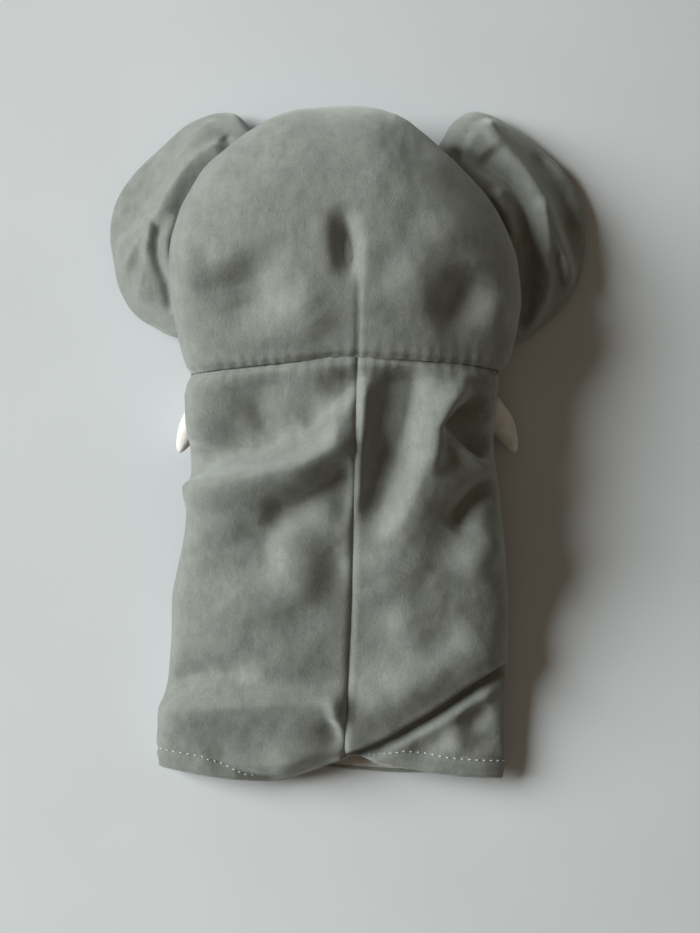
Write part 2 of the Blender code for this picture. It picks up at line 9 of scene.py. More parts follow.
import bpy
import numpy as np
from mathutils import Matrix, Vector


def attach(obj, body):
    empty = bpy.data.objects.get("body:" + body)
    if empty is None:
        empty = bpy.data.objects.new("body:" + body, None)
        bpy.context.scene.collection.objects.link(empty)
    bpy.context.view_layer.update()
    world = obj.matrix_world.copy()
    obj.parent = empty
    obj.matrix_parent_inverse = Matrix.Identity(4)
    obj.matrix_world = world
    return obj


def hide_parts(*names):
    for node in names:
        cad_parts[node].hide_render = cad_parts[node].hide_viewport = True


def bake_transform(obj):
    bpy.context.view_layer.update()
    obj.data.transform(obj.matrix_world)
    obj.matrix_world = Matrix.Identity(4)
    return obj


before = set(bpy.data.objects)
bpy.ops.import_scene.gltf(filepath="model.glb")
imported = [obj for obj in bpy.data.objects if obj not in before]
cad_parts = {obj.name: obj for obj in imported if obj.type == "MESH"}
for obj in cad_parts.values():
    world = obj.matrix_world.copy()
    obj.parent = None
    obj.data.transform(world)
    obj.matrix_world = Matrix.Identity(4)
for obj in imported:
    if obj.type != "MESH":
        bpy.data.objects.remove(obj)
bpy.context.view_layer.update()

MM = 0.001
CLOTH = 1.5
LINING_CLOTH = 0.8
# The room round the finger pocket in the filling.
POCKET_ROOM = 1.2

# The head's form.
CROWN_Y = 142.5
HEAD_MID_Y = 75.0
NECK_Y = 32.0
HEAD_HALF_WIDTH = 74.0
HEAD_LOWER_REACH = 95.0
HEAD_UPPER_REACH = CROWN_Y - HEAD_MID_Y
HEAD_SEAM_Z = 29.0
HEAD_BACK_RISE = 40.0
NECK_BACK_RISE = 31.0
GUSSET_HALF_WIDTH = 20.0
# How deep and how wide the groove of an outer seam is.
SEAM_DEPTH = 1.7
SEAM_WIDTH = 1.8
FACE_DEPTH = ((32, 12.5), (62, 12.5), (80, 31), (143, 31))
PUSHED_IN = ((58, 0), (77, 0.03), (96, 0.085), (110, 0.14), (124, 0.23), (134, 0.24), (143, 0.2))
# The finger pocket, as (y, half its width, its low side, its high side).
POCKET = ((32.3, 38, 46, 56), (50, 40, 41, 60), (75, 38, 39, 62), (95, 30, 38, 57), (105, 16, 42, 52))

# The sleeve's outline, as (y, value).
LEFT_EDGE = ((32, -66.8), (8, -66.4), (-15, -66.2), (-41, -69.3), (-66, -74.9), (-88, -75.4),
             (-113, -78.3), (-127, -81.4), (-140, -83))
RIGHT_EDGE = ((32, 64.6), (15, 62.6), (-2, 61.8), (-15, 64), (-41, 66.8), (-66, 69), (-102, 69.2),
              (-123, 68.2), (-144, 69.4))
CENTRE_SEAM = ((36, 4.6), (-2, 3.4), (-73, 2.1), (-107, 0.8), (-131, -0.8), (-147, -1))
SLEEVE_LENGTH = 178.0
SEAM_Z = ((-146, 5), (-76, 6), (-45, 11), (-20, 20), (-2, 22), (31.7, 29))
BACK_Z = ((-146, 19), (-110, 26), (-76, 35), (-45, 47), (-20, 57), (10, 60), (31.7, 60))
FRONT_Z = ((-146, -2), (-78, -2), (-60, 12), (-42, 29), (-20, 47), (31.7, 47))
SIDE_BAND = ((-146, 1.5), (-76, 1.5), (-45, 7), (31.7, 8))
# How square the back's cross-section is: the power of its sine.
ROUNDNESS = ((-146, 0.6), (-100, 0.5), (-50, 0.46), (-25, 0.6), (5, 0.75), (32, 0.85))
# The neck seam and the hem seen from above, as (x, y).
NECK_LINE = ((-70, 28.2), (-40, 31.4), (0, 35.4), (10, 35.2), (40, 33.4), (70, 30.2))
HEM_LINE = ((-83, -137), (-65, -140), (-50, -142.6), (-35, -144.6), (-27, -144), (-18, -140.4), (-8, -136),
            (0, -133.4), (8, -134), (22, -137.4), (46, -140.6), (70, -142.4))
# How far the stitches are from the hem, as (x, distance): in the middle the hem rolls under with them.
HEM_DEPTH = ((-90, 7.5), (-58, 7.5), (-46, 3.6), (-32, 0.9), (6, 0.9), (15, 4.5), (24, 7.2), (75, 7.2))
STITCH_PITCH = 3.2
STITCH_LENGTH = 1.7
THREAD_RADIUS = 0.22


# Numbers


def at(pairs, where):
    """The value at a place, on straight runs between (place, value) pairs."""
    ordered = sorted(pairs)
    return np.interp(where, [p[0] for p in ordered], [p[1] for p in ordered])


def soft_at(pairs, where, spread=5.0):
    """at(), averaged over a stretch so that it has no corners."""
    steps = np.linspace(-1, 1, 7)
    return sum(at(pairs, np.asarray(where, float) + spread * s) for s in steps) / len(steps)


def column_at(table, column, where, spread):
    """One column of a table of rows, at a place in the table's first column."""
    return float(soft_at([(row[0], row[column]) for row in table], where, spread))


def ease(t):
    """A smooth step from 0 to 1 while t goes from 0 to 1."""
    t = np.clip(t, 0, 1)
    return t * t * (3 - 2 * t)


def bell(distance, width):
    """1 where the distance is 0, and nearly 0 from twice the width on."""
    return np.exp(-((distance / width) ** 2))


def lumps(x, y, size, seed):
    """A smooth random field between -1 and 1, with lumps of about that size."""
    lattice = np.random.default_rng(seed).uniform(-1, 1, (64, 64))
    u, v = np.asarray(x) / size + 31.3, np.asarray(y) / size + 29.7
    i, j = np.floor(u).astype(int), np.floor(v).astype(int)
    a, b = ease(u - i), ease(v - j)
    near, far = lattice[i % 64, j % 64], lattice[(i + 1) % 64, j % 64]
    near_up, far_up = lattice[i % 64, (j + 1) % 64], lattice[(i + 1) % 64, (j + 1) % 64]
    return (near * (1 - a) + far * a) * (1 - b) + (near_up * (1 - a) + far_up * a) * b


def curve(points, per_span=6):
    """Points on a Catmull-Rom curve through an open list of points."""
    points = [np.array(p, float) for p in points]
    ends = [points[0], *points, points[-1]]
    found = []
    for p0, p1, p2, p3 in zip(ends, ends[1:], ends[2:], ends[3:]):
        for t in np.arange(per_span) / per_span:
            bend = 2 * p0 - 5 * p1 + 4 * p2 - p3
            twist = 3 * p1 - p0 - 3 * p2 + p3
            found.append(0.5 * (2 * p1 + (p2 - p0) * t + bend * t**2 + twist * t**3))
    found.append(points[-1])
    return np.array(found)


def beside(x, y, path):
    """The signed distance of points from a path, positive on its left, and their share along it."""
    line = curve(path)
    steps = np.linalg.norm(np.diff(line, axis=0), axis=1)
    along = np.concatenate([[0], np.cumsum(steps)]) / max(steps.sum(), 1e-9)
    nearest = np.full(x.shape, 1e9)
    side = np.zeros(x.shape)
    share = np.zeros(x.shape)
    for i in range(len(line) - 1):
        (ax, ay), (bx, by) = line[i], line[i + 1]
        dx, dy = bx - ax, by - ay
        length = max(dx * dx + dy * dy, 1e-9)
        t = np.clip(((x - ax) * dx + (y - ay) * dy) / length, 0, 1)
        away = np.hypot(x - ax - t * dx, y - ay - t * dy)
        closer = away < nearest
        nearest = np.where(closer, away, nearest)
        turn = dx * (y - ay) - dy * (x - ax)
        side = np.where(closer, np.sign(turn), side)
        share = np.where(closer, along[i] + t * (along[i + 1] - along[i]), share)
    return nearest * side, share


def fold(x, y, path, height, left, right=None, ends=0.2):
    """A ridge, or with a negative height a valley, along a path, with a width on each side."""
    away, share = beside(x, y, path)
    width = np.where(away > 0, left, left if right is None else right)
    fade = ease(share / ends) * ease((1 - share) / ends) if ends else 1
    return height * fade * bell(away, width)


def folded(x, y, folds):
    """The sum of several folds."""
    return sum(fold(x, y, *one) for one in folds)


# Meshes


def make(name, points, faces):
    """A smooth mesh from points in millimetres, turned so that its faces point outwards."""
    corners = np.array([p for f in faces for p in ((f[0], f[1], f[2]), (f[0], f[2], f[-1]))])
    a, b, c = (points[corners[:, k]] for k in range(3))
    if (a * np.cross(b, c)).sum() < 0:
        faces = [f[::-1] for f in faces]
    mesh = bpy.data.meshes.new(name)
    mesh.from_pydata((points * MM).tolist(), [], faces)
    mesh.update()
    mesh.shade_smooth()
    thing = bpy.data.objects.new(name, mesh)
    bpy.context.scene.collection.objects.link(thing)
    return thing


def grid_faces(rows, cols, first=0, wrap=False):
    """The four-sided faces of a grid of points, closed round its columns where wrap is set."""
    faces = []
    for i in range(rows - 1):
        for j in range(cols if wrap else cols - 1):
            k = (j + 1) % cols
            faces.append((first + i * cols + j, first + i * cols + k,
                          first + (i + 1) * cols + k, first + (i + 1) * cols + j))
    return faces


def slab(name, outer, inner, bulge=0.45):
    """A closed sheet between two grids of points, with rounded edges."""
    rows, cols = outer.shape[:2]
    count = rows * cols
    faces = grid_faces(rows, cols) + [f[::-1] for f in grid_faces(rows, cols, count)]
    rim = [(0, j) for j in range(cols)] + [(i, cols - 1) for i in range(1, rows)]
    rim += [(rows - 1, j) for j in range(cols - 2, -1, -1)] + [(i, 0) for i in range(rows - 2, 0, -1)]
    edge = []
    for i, j in rim:
        inward = outer[min(max(i, 1), rows - 2), min(max(j, 1), cols - 2)] - outer[i, j]
        inward /= max(np.linalg.norm(inward), 1e-9)
        thick = np.linalg.norm(outer[i, j] - inner[i, j])
        edge.append((outer[i, j] + inner[i, j]) / 2 - inward * thick * bulge)
    flat = [i * cols + j for i, j in rim]
    for k in range(len(rim)):
        m = (k + 1) % len(rim)
        faces.append((flat[m], flat[k], 2 * count + k, 2 * count + m))
        faces.append((2 * count + m, 2 * count + k, count + flat[k], count + flat[m]))
    points = np.concatenate([outer.reshape(-1, 3), inner.reshape(-1, 3), np.array(edge)])
    return make(name, points, faces)


def tube(name, rings):
    """A closed form through rings of points, with a single point at each end."""
    ends = [np.mean(rings[0], axis=0), np.mean(rings[-1], axis=0)]
    rows, cols = len(rings), len(rings[0])
    faces = grid_faces(rows, cols, wrap=True)
    count = rows * cols
    for j in range(cols):
        k = (j + 1) % cols
        faces.append((k, j, count))
        last = (rows - 1) * cols
        faces.append((last + j, last + k, count + 1))
    points = np.concatenate([np.concatenate(rings), np.array(ends)])
    return make(name, points, faces)


def normals(grid, wrap=False):
    """Unit normals of a grid of points."""
    if wrap:
        padded = np.concatenate([grid[:, -2:], grid, grid[:, :2]], axis=1)
        across = np.gradient(padded, axis=1)[:, 2:-2]
    else:
        across = np.gradient(grid, axis=1)
    down = np.gradient(grid, axis=0)
    found = np.cross(across, down)
    return found / np.maximum(np.linalg.norm(found, axis=2), 1e-9)[:, :, None]


def along_rows(grid):
    """How far each point of a grid is along its row from the row's first point."""
    steps = np.linalg.norm(np.diff(grid, axis=1), axis=2)
    return np.concatenate([np.zeros((len(grid), 1)), np.cumsum(steps, axis=1)], axis=1)


# Materials


class Nodes:
    """A short way to write a material's nodes."""

    def __init__(self, name):
        self.material = bpy.data.materials.new(name)
        self.material.use_nodes = True
        self.tree = self.material.node_tree
        self.shader = self.tree.nodes["Principled BSDF"]
        self.place = self.add("ShaderNodeTexCoord").outputs["Object"]

    def add(self, kind, **settings):
        node = self.tree.nodes.new(kind)
        for key, value in settings.items():
            setattr(node, key, value)
        return node

    def link(self, source, target):
        self.tree.links.new(source, target)

    def stretched(self, scale, turn=0.0):
        node = self.add("ShaderNodeMapping")
        node.inputs["Scale"].default_value = scale
        node.inputs["Rotation"].default_value = (0, 0, turn)
        self.link(self.place, node.inputs["Vector"])
        return node.outputs["Vector"]

    def noise(self, size_mm, detail=2.0, roughness=0.5, vector=None, warp=0.0):
        node = self.add("ShaderNodeTexNoise")
        node.inputs["Scale"].default_value = 1000 / size_mm
        node.inputs["Detail"].default_value = detail
        node.inputs["Roughness"].default_value = roughness
        node.inputs["Distortion"].default_value = warp
        self.link(self.place if vector is None else vector, node.inputs["Vector"])
        return node.outputs["Fac"]

    def math(self, operation, a, b):
        node = self.add("ShaderNodeMath", operation=operation)
        for socket, value in zip(node.inputs, (a, b)):
            if isinstance(value, (int, float)):
                socket.default_value = value
            else:
                self.link(value, socket)
        return node.outputs["Value"]

    def blended(self, a, share_a, b, share_b):
        """The sum of two values, each with its own share."""
        return self.math("ADD", self.math("MULTIPLY", a, share_a), self.math("MULTIPLY", b, share_b))

    def ramp(self, source, *stops):
        node = self.add("ShaderNodeValToRGB")
        elements = node.color_ramp.elements
        while len(elements) < len(stops):
            elements.new(0.5)
        for element, (position, colour) in zip(elements, stops):
            element.position = position
            element.color = (*colour, 1)
        self.link(source, node.inputs["Fac"])
        return node.outputs["Color"]

    def mix(self, share, a, b, blend="MIX"):
        node = self.add("ShaderNodeMix", data_type="RGBA", blend_type=blend)
        for socket, value in ((node.inputs["Factor"], share), (node.inputs["A"], a), (node.inputs["B"], b)):
            if isinstance(value, float):
                socket.default_value = value
            elif isinstance(value, tuple):
                socket.default_value = (*value, 1)
            else:
                self.link(value, socket)
        return node.outputs["Result"]

    def bump(self, height, distance_mm, strength=1.0, normal=None):
        node = self.add("ShaderNodeBump")
        node.inputs["Distance"].default_value = distance_mm * MM
        node.inputs["Strength"].default_value = strength
        self.link(height, node.inputs["Height"])
        if normal is not None:
            self.link(normal, node.inputs["Normal"])
        return node.outputs["Normal"]

    def finish(self, colour, roughness, normal=None, **sockets):
        self.link(colour, self.shader.inputs["Base Color"])
        if isinstance(roughness, float):
            self.shader.inputs["Roughness"].default_value = roughness
        else:
            self.link(roughness, self.shader.inputs["Roughness"])
        if normal is not None:
            self.link(normal, self.shader.inputs["Normal"])
        for key, value in sockets.items():
            self.shader.inputs[key.replace("_", " ")].default_value = value
        return self.material


def plush(name, dark, light, pile=1.0):
    """Short velour: a nap that lies in streaks and patches, with a fine pile and a soft sheen."""
    n = Nodes(name)
    patches = n.noise(13, 3, 0.55, warp=0.4)
    streaks = n.noise(3.2, 3, 0.6, n.stretched((1.0, 0.42, 1.0), 0.22), warp=0.3)
    tufts = n.noise(1.1, 2, 0.6)
    fibres = n.noise(0.32, 2, 0.7)
    nap = n.blended(patches, 0.42, streaks, 0.34)
    nap = n.math("ADD", nap, n.math("MULTIPLY", tufts, 0.24))
    colour = n.ramp(nap, (0.32, dark), (0.68, light))
    speck = n.ramp(fibres, (0.32, (0.72, 0.72, 0.72)), (0.62, (1.08, 1.08, 1.08)))
    colour = n.mix(0.7, colour, speck, "MULTIPLY")
    height = n.blended(streaks, 0.4, tufts, 0.6)
    normal = n.bump(height, 0.6 * pile, 0.45)
    normal = n.bump(fibres, 0.26 * pile, 0.95, normal)
    rough = n.ramp(patches, (0.3, (0.82,) * 3), (0.7, (0.95,) * 3))
    return n.finish(colour, rough, normal, Sheen_Weight=0.7, Sheen_Roughness=0.42,
                    Sheen_Tint=(0.93, 0.97, 0.94, 1), Specular_IOR_Level=0.12)


def felt(name, dark, light):
    """Pressed fibres that lie in clouds."""
    n = Nodes(name)
    cloud = n.noise(5, 3, 0.6)
    fibres = n.noise(0.45, 3, 0.7, n.stretched((1, 0.35, 1), 0.6))
    colour = n.ramp(n.blended(cloud, 0.6, fibres, 0.4), (0.35, dark), (0.65, light))
    normal = n.bump(fibres, 0.25, 0.8, n.bump(cloud, 0.5, 0.4))
    return n.finish(colour, 0.92, normal, Sheen_Weight=0.35, Sheen_Roughness=0.5, Specular_IOR_Level=0.15)


def woven(name, dark, light, pitch_mm=0.55):
    """A plain weave of fine yarn."""
    n = Nodes(name)
    waves = []
    for direction in ("X", "Y"):
        wave = n.add("ShaderNodeTexWave", wave_type="BANDS", bands_direction=direction)
        wave.inputs["Scale"].default_value = 1000 / pitch_mm / 3.1
        wave.inputs["Distortion"].default_value = 0.6
        wave.inputs["Detail Scale"].default_value = 2
        n.link(n.place, wave.inputs["Vector"])
        waves.append(wave.outputs["Fac"])
    weave = n.math("MULTIPLY", waves[0], waves[1])
    slub = n.noise(4, 3, 0.6, n.stretched((1, 0.2, 1)))
    colour = n.ramp(n.blended(weave, 0.45, slub, 0.55), (0.2, dark), (0.7, light))
    normal = n.bump(weave, 0.12, 0.7, n.bump(slub, 0.3, 0.3))
    return n.finish(colour, 0.85, normal, Sheen_Weight=0.2, Sheen_Roughness=0.4, Specular_IOR_Level=0.2)


def thread(name, dark, light):
    """Twisted yarn with its plies across it."""
    n = Nodes(name)
    ply = n.add("ShaderNodeTexWave", wave_type="BANDS", bands_direction="DIAGONAL")
    ply.inputs["Scale"].default_value = 900
    ply.inputs["Distortion"].default_value = 1.5
    n.link(n.place, ply.inputs["Vector"])
    colour = n.ramp(n.blended(ply.outputs["Fac"], 0.6, n.noise(0.8), 0.4), (0.2, dark), (0.7, light))
    return n.finish(colour, 0.55, n.bump(ply.outputs["Fac"], 0.1, 0.6), Sheen_Weight=0.3)


def moulded(name, dark, light, rough, marks_mm):
    """Smooth plastic with faint swirls and handling marks."""
    n = Nodes(name)
    cloud = n.noise(marks_mm, 4, 0.6, warp=0.8)
    colour = n.ramp(cloud, (0.3, dark), (0.7, light))
    worn = rough * 1.8 + 0.02
    gloss = n.ramp(n.noise(marks_mm * 0.4, 3, 0.6), (0.3, (rough,) * 3), (0.7, (worn,) * 3))
    return n.finish(colour, gloss, n.bump(cloud, 0.02, 0.3), Specular_IOR_Level=0.5)


def card(name, dark, light):
    """Grey pulp board."""
    n = Nodes(name)
    pulp = n.noise(1.4, 4, 0.7)
    colour = n.ramp(pulp, (0.3, dark), (0.7, light))
    return n.finish(colour, 0.9, n.bump(pulp, 0.1, 0.6), Specular_IOR_Level=0.2)


PLUSH = plush("sage_plush", (0.192, 0.204, 0.186), (0.31, 0.324, 0.299))
EAR_PLUSH = plush("ear_front_plush", (0.27, 0.285, 0.265), (0.40, 0.42, 0.395), 0.8)
LINING = woven("white_lining", (0.52, 0.50, 0.47), (0.80, 0.79, 0.76))
TUSK = felt("white_felt", (0.62, 0.59, 0.54), (0.85, 0.83, 0.78))
MOUTH = felt("pink_mouth_cloth", (0.46, 0.17, 0.19), (0.66, 0.32, 0.34))
THREAD = thread("pale_thread", (0.50, 0.55, 0.51), (0.78, 0.82, 0.78))
EYE = moulded("black_gloss", (0.006, 0.006, 0.007), (0.016, 0.015, 0.015), 0.07, 3)
WASHER = moulded("white_plastic", (0.68, 0.68, 0.66), (0.82, 0.82, 0.80), 0.38, 4)
BOARD = card("grey_board", (0.30, 0.27, 0.23), (0.50, 0.47, 0.42))


def dress(thing, finish, slot, *nodes):
    """Gives a piece its material and hides the CAD nodes that it stands for. slot is not used."""
    thing.data.materials.append(finish)
    if nodes:
        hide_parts(*nodes)
    return thing


# Head


def head_fullness(y):
    """How much of its full width the head has at y: 1 in the middle and less either way."""
    reach = np.where(y > HEAD_MID_Y, HEAD_UPPER_REACH, HEAD_LOWER_REACH)
    return np.sqrt(np.clip(1 - ((y - HEAD_MID_Y) / reach) ** 2, 0, 1))


def head_back_rise(y):
    """How far the back of the head stands above its side seam."""
    share = np.clip((HEAD_MID_Y - y) / (HEAD_MID_Y - NECK_Y), 0, 1)
    below = HEAD_BACK_RISE - (HEAD_BACK_RISE - NECK_BACK_RISE) * share**1.5
    return np.where(y > HEAD_MID_Y, HEAD_BACK_RISE * head_fullness(y), below)


def face_depth(y):
    """How far the face reaches below the side seam."""
    return soft_at(FACE_DEPTH, y, 4) * np.where(y > 84, head_fullness(y) ** 0.6, 1)


def head_point(y, turn):
    """The head's outer surface at y and at a turn from its right seam over the back."""
    width = HEAD_HALF_WIDTH * head_fullness(y)
    rise = np.sin(turn)
    # The filling has moved to the left, where the side is square, while the right side falls away.
    leaning = np.tanh(2.5 * np.cos(turn))
    square = ease((112 - y) / 40) * (0.35 + 0.65 * ease((y - NECK_Y) / 25))
    roundness = 0.82 + 0.14 * leaning - 0.13 * square * (1 - leaning)
    top = HEAD_SEAM_Z + head_back_rise(y) * np.abs(rise) ** roundness
    low = HEAD_SEAM_Z - face_depth(y) * np.abs(rise) ** 0.95
    low = 0.4 + (low + np.sqrt(low**2 + 9)) / 2 - 0.4 * ease(low / 8)
    x = width * np.cos(turn)
    z = np.where(rise >= 0, top, np.minimum(low, HEAD_SEAM_Z))
    return np.stack([x, y + 0 * turn, z], axis=-1)


def pushed_in(x, y):
    """The filling is pushed in at the upper right, so that the outline is flatter there."""
    share = soft_at(PUSHED_IN, y, 4)
    return x * (1 - share * ease(x / 34))


def neck_shift(x, y):
    """Bends the rows near the neck to the line of the neck seam."""
    return (soft_at(NECK_LINE, x) - NECK_Y) * (1 - ease((y - NECK_Y) / 34))


HEAD_FOLDS = (
    # The dart: a deep dimple with a rounded lip beside it.
    (((-2.4, 99), (-0.4, 88), (1.0, 77), (2.2, 62)), -8.5, 3.8, 5.4, 0.45),
    (((4, 96), (7, 82), (8, 66), (8, 50), (9, 36)), 0.9, 9.0, 4.6, 0.4),
    # Broad hollows and swells of the filling.
    (((-44, 80), (-38, 64), (-36, 42)), -6.0, 11.0, 17.0, 0.4),
    (((-68, 92), (-65, 76), (-62, 56)), 2.0, 6.0, 5.0, 0.4),
    (((-24, 64), (-14, 52), (-8, 40)), 2.2, 11.0, 11.0, 0.4),
    (((-40, 112), (-22, 100), (-6, 96)), 1.8, 15.0, 15.0, 0.45),
    (((56, 76), (50, 62), (42, 50), (34, 44)), -5.0, 7.0, 9.0, 0.4),
    (((62, 66), (60, 54), (56, 44)), 2.4, 6.0, 6.0, 0.4),
    (((16, 76), (27, 66), (32, 50)), 2.8, 10.0, 12.0, 0.45),
    (((30, 96), (44, 88), (52, 78)), 1.4, 12.0, 12.0, 0.45),
    (((-20, 126), (0, 130), (22, 124)), 1.0, 9.0, 9.0, 0.45),
)


def head_relief(x, y):
    """How far the back of the head stands out from its plain form."""
    relief = folded(x, y, HEAD_FOLDS)
    relief += 1.0 * lumps(x, y, 19, 3) + 0.22 * lumps(x, y, 7, 4) + 0.07 * lumps(x, y, 2.6, 5)
    seam_x = at(CENTRE_SEAM, y)
    along = 1 - ease((y - 66) / 10)
    relief -= along * bell(x - seam_x, 1.1)
    return relief


def pucker(x, depth, reach, seed):
    """Short gathers that run away from a seam. depth is the distance from it."""
    wave = np.sin(2 * np.pi * (x / 5.2 + 0.5 * lumps(x, 0 * x, 14, seed)))
    uneven = 0.55 + 0.45 * lumps(x, 0 * x, 9, seed + 1)
    return 0.26 * wave * uneven * np.exp(-((np.abs(depth) / reach) ** 1.3))


def make_head():
    """The stuffed head as one closed form: its outside, the wall at the neck and the pocket's room."""
    lower = np.linspace(NECK_Y, HEAD_MID_Y, 46)[:-1]
    upper = HEAD_MID_Y + HEAD_UPPER_REACH * np.sin(np.radians(np.linspace(0, 89.2, 84)))
    y = np.concatenate([lower, upper])[:, None]
    cols = 380
    turn = (2 * np.pi * np.arange(cols) / cols)[None, :]
    grid = head_point(y, turn)
    out = normals(grid, wrap=True)
    outwards = grid - np.array([0, HEAD_MID_Y, HEAD_SEAM_Z])
    out *= np.sign((out * outwards).sum(axis=2).mean())
    x, yy, z = grid[..., 0], grid[..., 1], grid[..., 2]
    back = ease((np.sin(turn) + 0.02) / 0.25)
    fade = ease(head_fullness(y) / 0.35)
    relief = back * fade * head_relief(x, yy)
    depth = yy - NECK_Y
    relief += ease(np.sin(turn) / 0.1) * (pucker(x, depth, 6, 21) - SEAM_DEPTH * bell(depth, SEAM_WIDTH))
    # Side seams and the two seams of the forehead gusset.
    at_the_sides = np.abs(np.cos(turn)) >= 0.6
    relief -= SEAM_DEPTH * fade * bell(np.abs(z - HEAD_SEAM_Z), SEAM_WIDTH) * at_the_sides
    below = ease(-np.sin(turn) / 0.1)
    away = np.abs(np.abs(x) - GUSSET_HALF_WIDTH)
    relief -= below * fade * bell(away, 1.3) * ease((z - 0.2) / 2)
    free = 1 - bell(z, 3)
    relief += below * fade * free * (0.8 * lumps(x + z, yy, 13, 8) + 0.3 * lumps(x, yy, 5, 9))
    grid = grid + out * relief[..., None]
    grid[..., 0] = pushed_in(grid[..., 0], yy)
    grid[..., 1] += neck_shift(grid[..., 0], yy) * ease((np.sin(turn) + 0.3) / 0.5)
    grid[..., 2] = np.maximum(grid[..., 2], 0.25)
    rings = [*grid[::-1]]
    # The end wall at the neck, and the room for the finger pocket behind it.
    mouth = pocket_ring(POCKET[0], turn[0], POCKET_ROOM)
    edge = rings[-1]
    middle = np.array([0, NECK_Y + 3.0, 40.0])
    for share in (0.04, 0.15, 0.4, 0.7):
        ring = edge * (1 - share) + mouth * share
        ring[:, 1] = edge[:, 1] * (1 - share) + (NECK_Y + 2.6) * share
        ring += (middle - ring) * np.array([0.02, 0, 0.02]) * (share < 0.1)
        rings.append(ring)
    for station in pocket_stations(12):
        rings.append(pocket_ring(station, turn[0], POCKET_ROOM))
    head = tube("head_cover", rings)
    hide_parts("head_stuffing", "throat_panel")
    panels = ("head_back_left", "head_back_right", "forehead_gusset", "cheek_left", "cheek_right")
    dress(head, PLUSH, "plush", *panels)
    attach(head, "head")


def pocket_stations(count):
    """Evenly spaced rows of the POCKET table, from inside the neck seam to past its end."""
    y = np.linspace(POCKET[0][0] + 3.4, POCKET[-1][0] + 1.2, count)
    return [(v, *(column_at(POCKET, k, v, 3) for k in (1, 2, 3))) for v in y]


def pocket_ring(station, turn, grow):
    """The pocket's cross-section at a station, made larger by grow."""
    y, half_width, low, high = station
    middle, rise = (low + high) / 2, (high - low) / 2 + grow
    z = middle + rise * np.sign(np.sin(turn)) * np.abs(np.sin(turn)) ** 0.9
    return np.stack([(half_width + grow) * np.cos(turn), y + 0 * turn, z], axis=-1)


def make_finger_pocket():
    """The lining that holds the fingers, a tube closed at its end."""
    cols = 120
    turn = 2 * np.pi * np.arange(cols) / cols
    outer, inner = [], []
    for station in pocket_stations(40):
        ripple = 0.5 * np.sin(5 * turn + station[0] / 9)[:, None] * np.array([0, 0, 1])
        outer.append(pocket_ring(station, turn, 0) + ripple)
        inner.append(pocket_ring(station, turn, -LINING_CLOTH) + ripple)
    end = outer[-1].mean(axis=0)
    for share in (0.75, 0.4):
        outer.append(end + (outer[-1] - end) * share + np.array([0, 1.2 * (1 - share), 0]))
        inner.append(end + (inner[-1] - end) * share + np.array([0, 1.0 * (1 - share), 0]))
    pocket = tube("finger_pocket_lining", [*inner[::-1], *outer])
    dress(pocket, LINING, "lining", "finger_pocket")
    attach(pocket, "head")


# Sleeve


def sleeve_edges(y):
    """The middle and half the width of the sleeve."""
    left, right = soft_at(LEFT_EDGE, y), soft_at(RIGHT_EDGE, y)
    return (left + right) / 2, (right - left) / 2


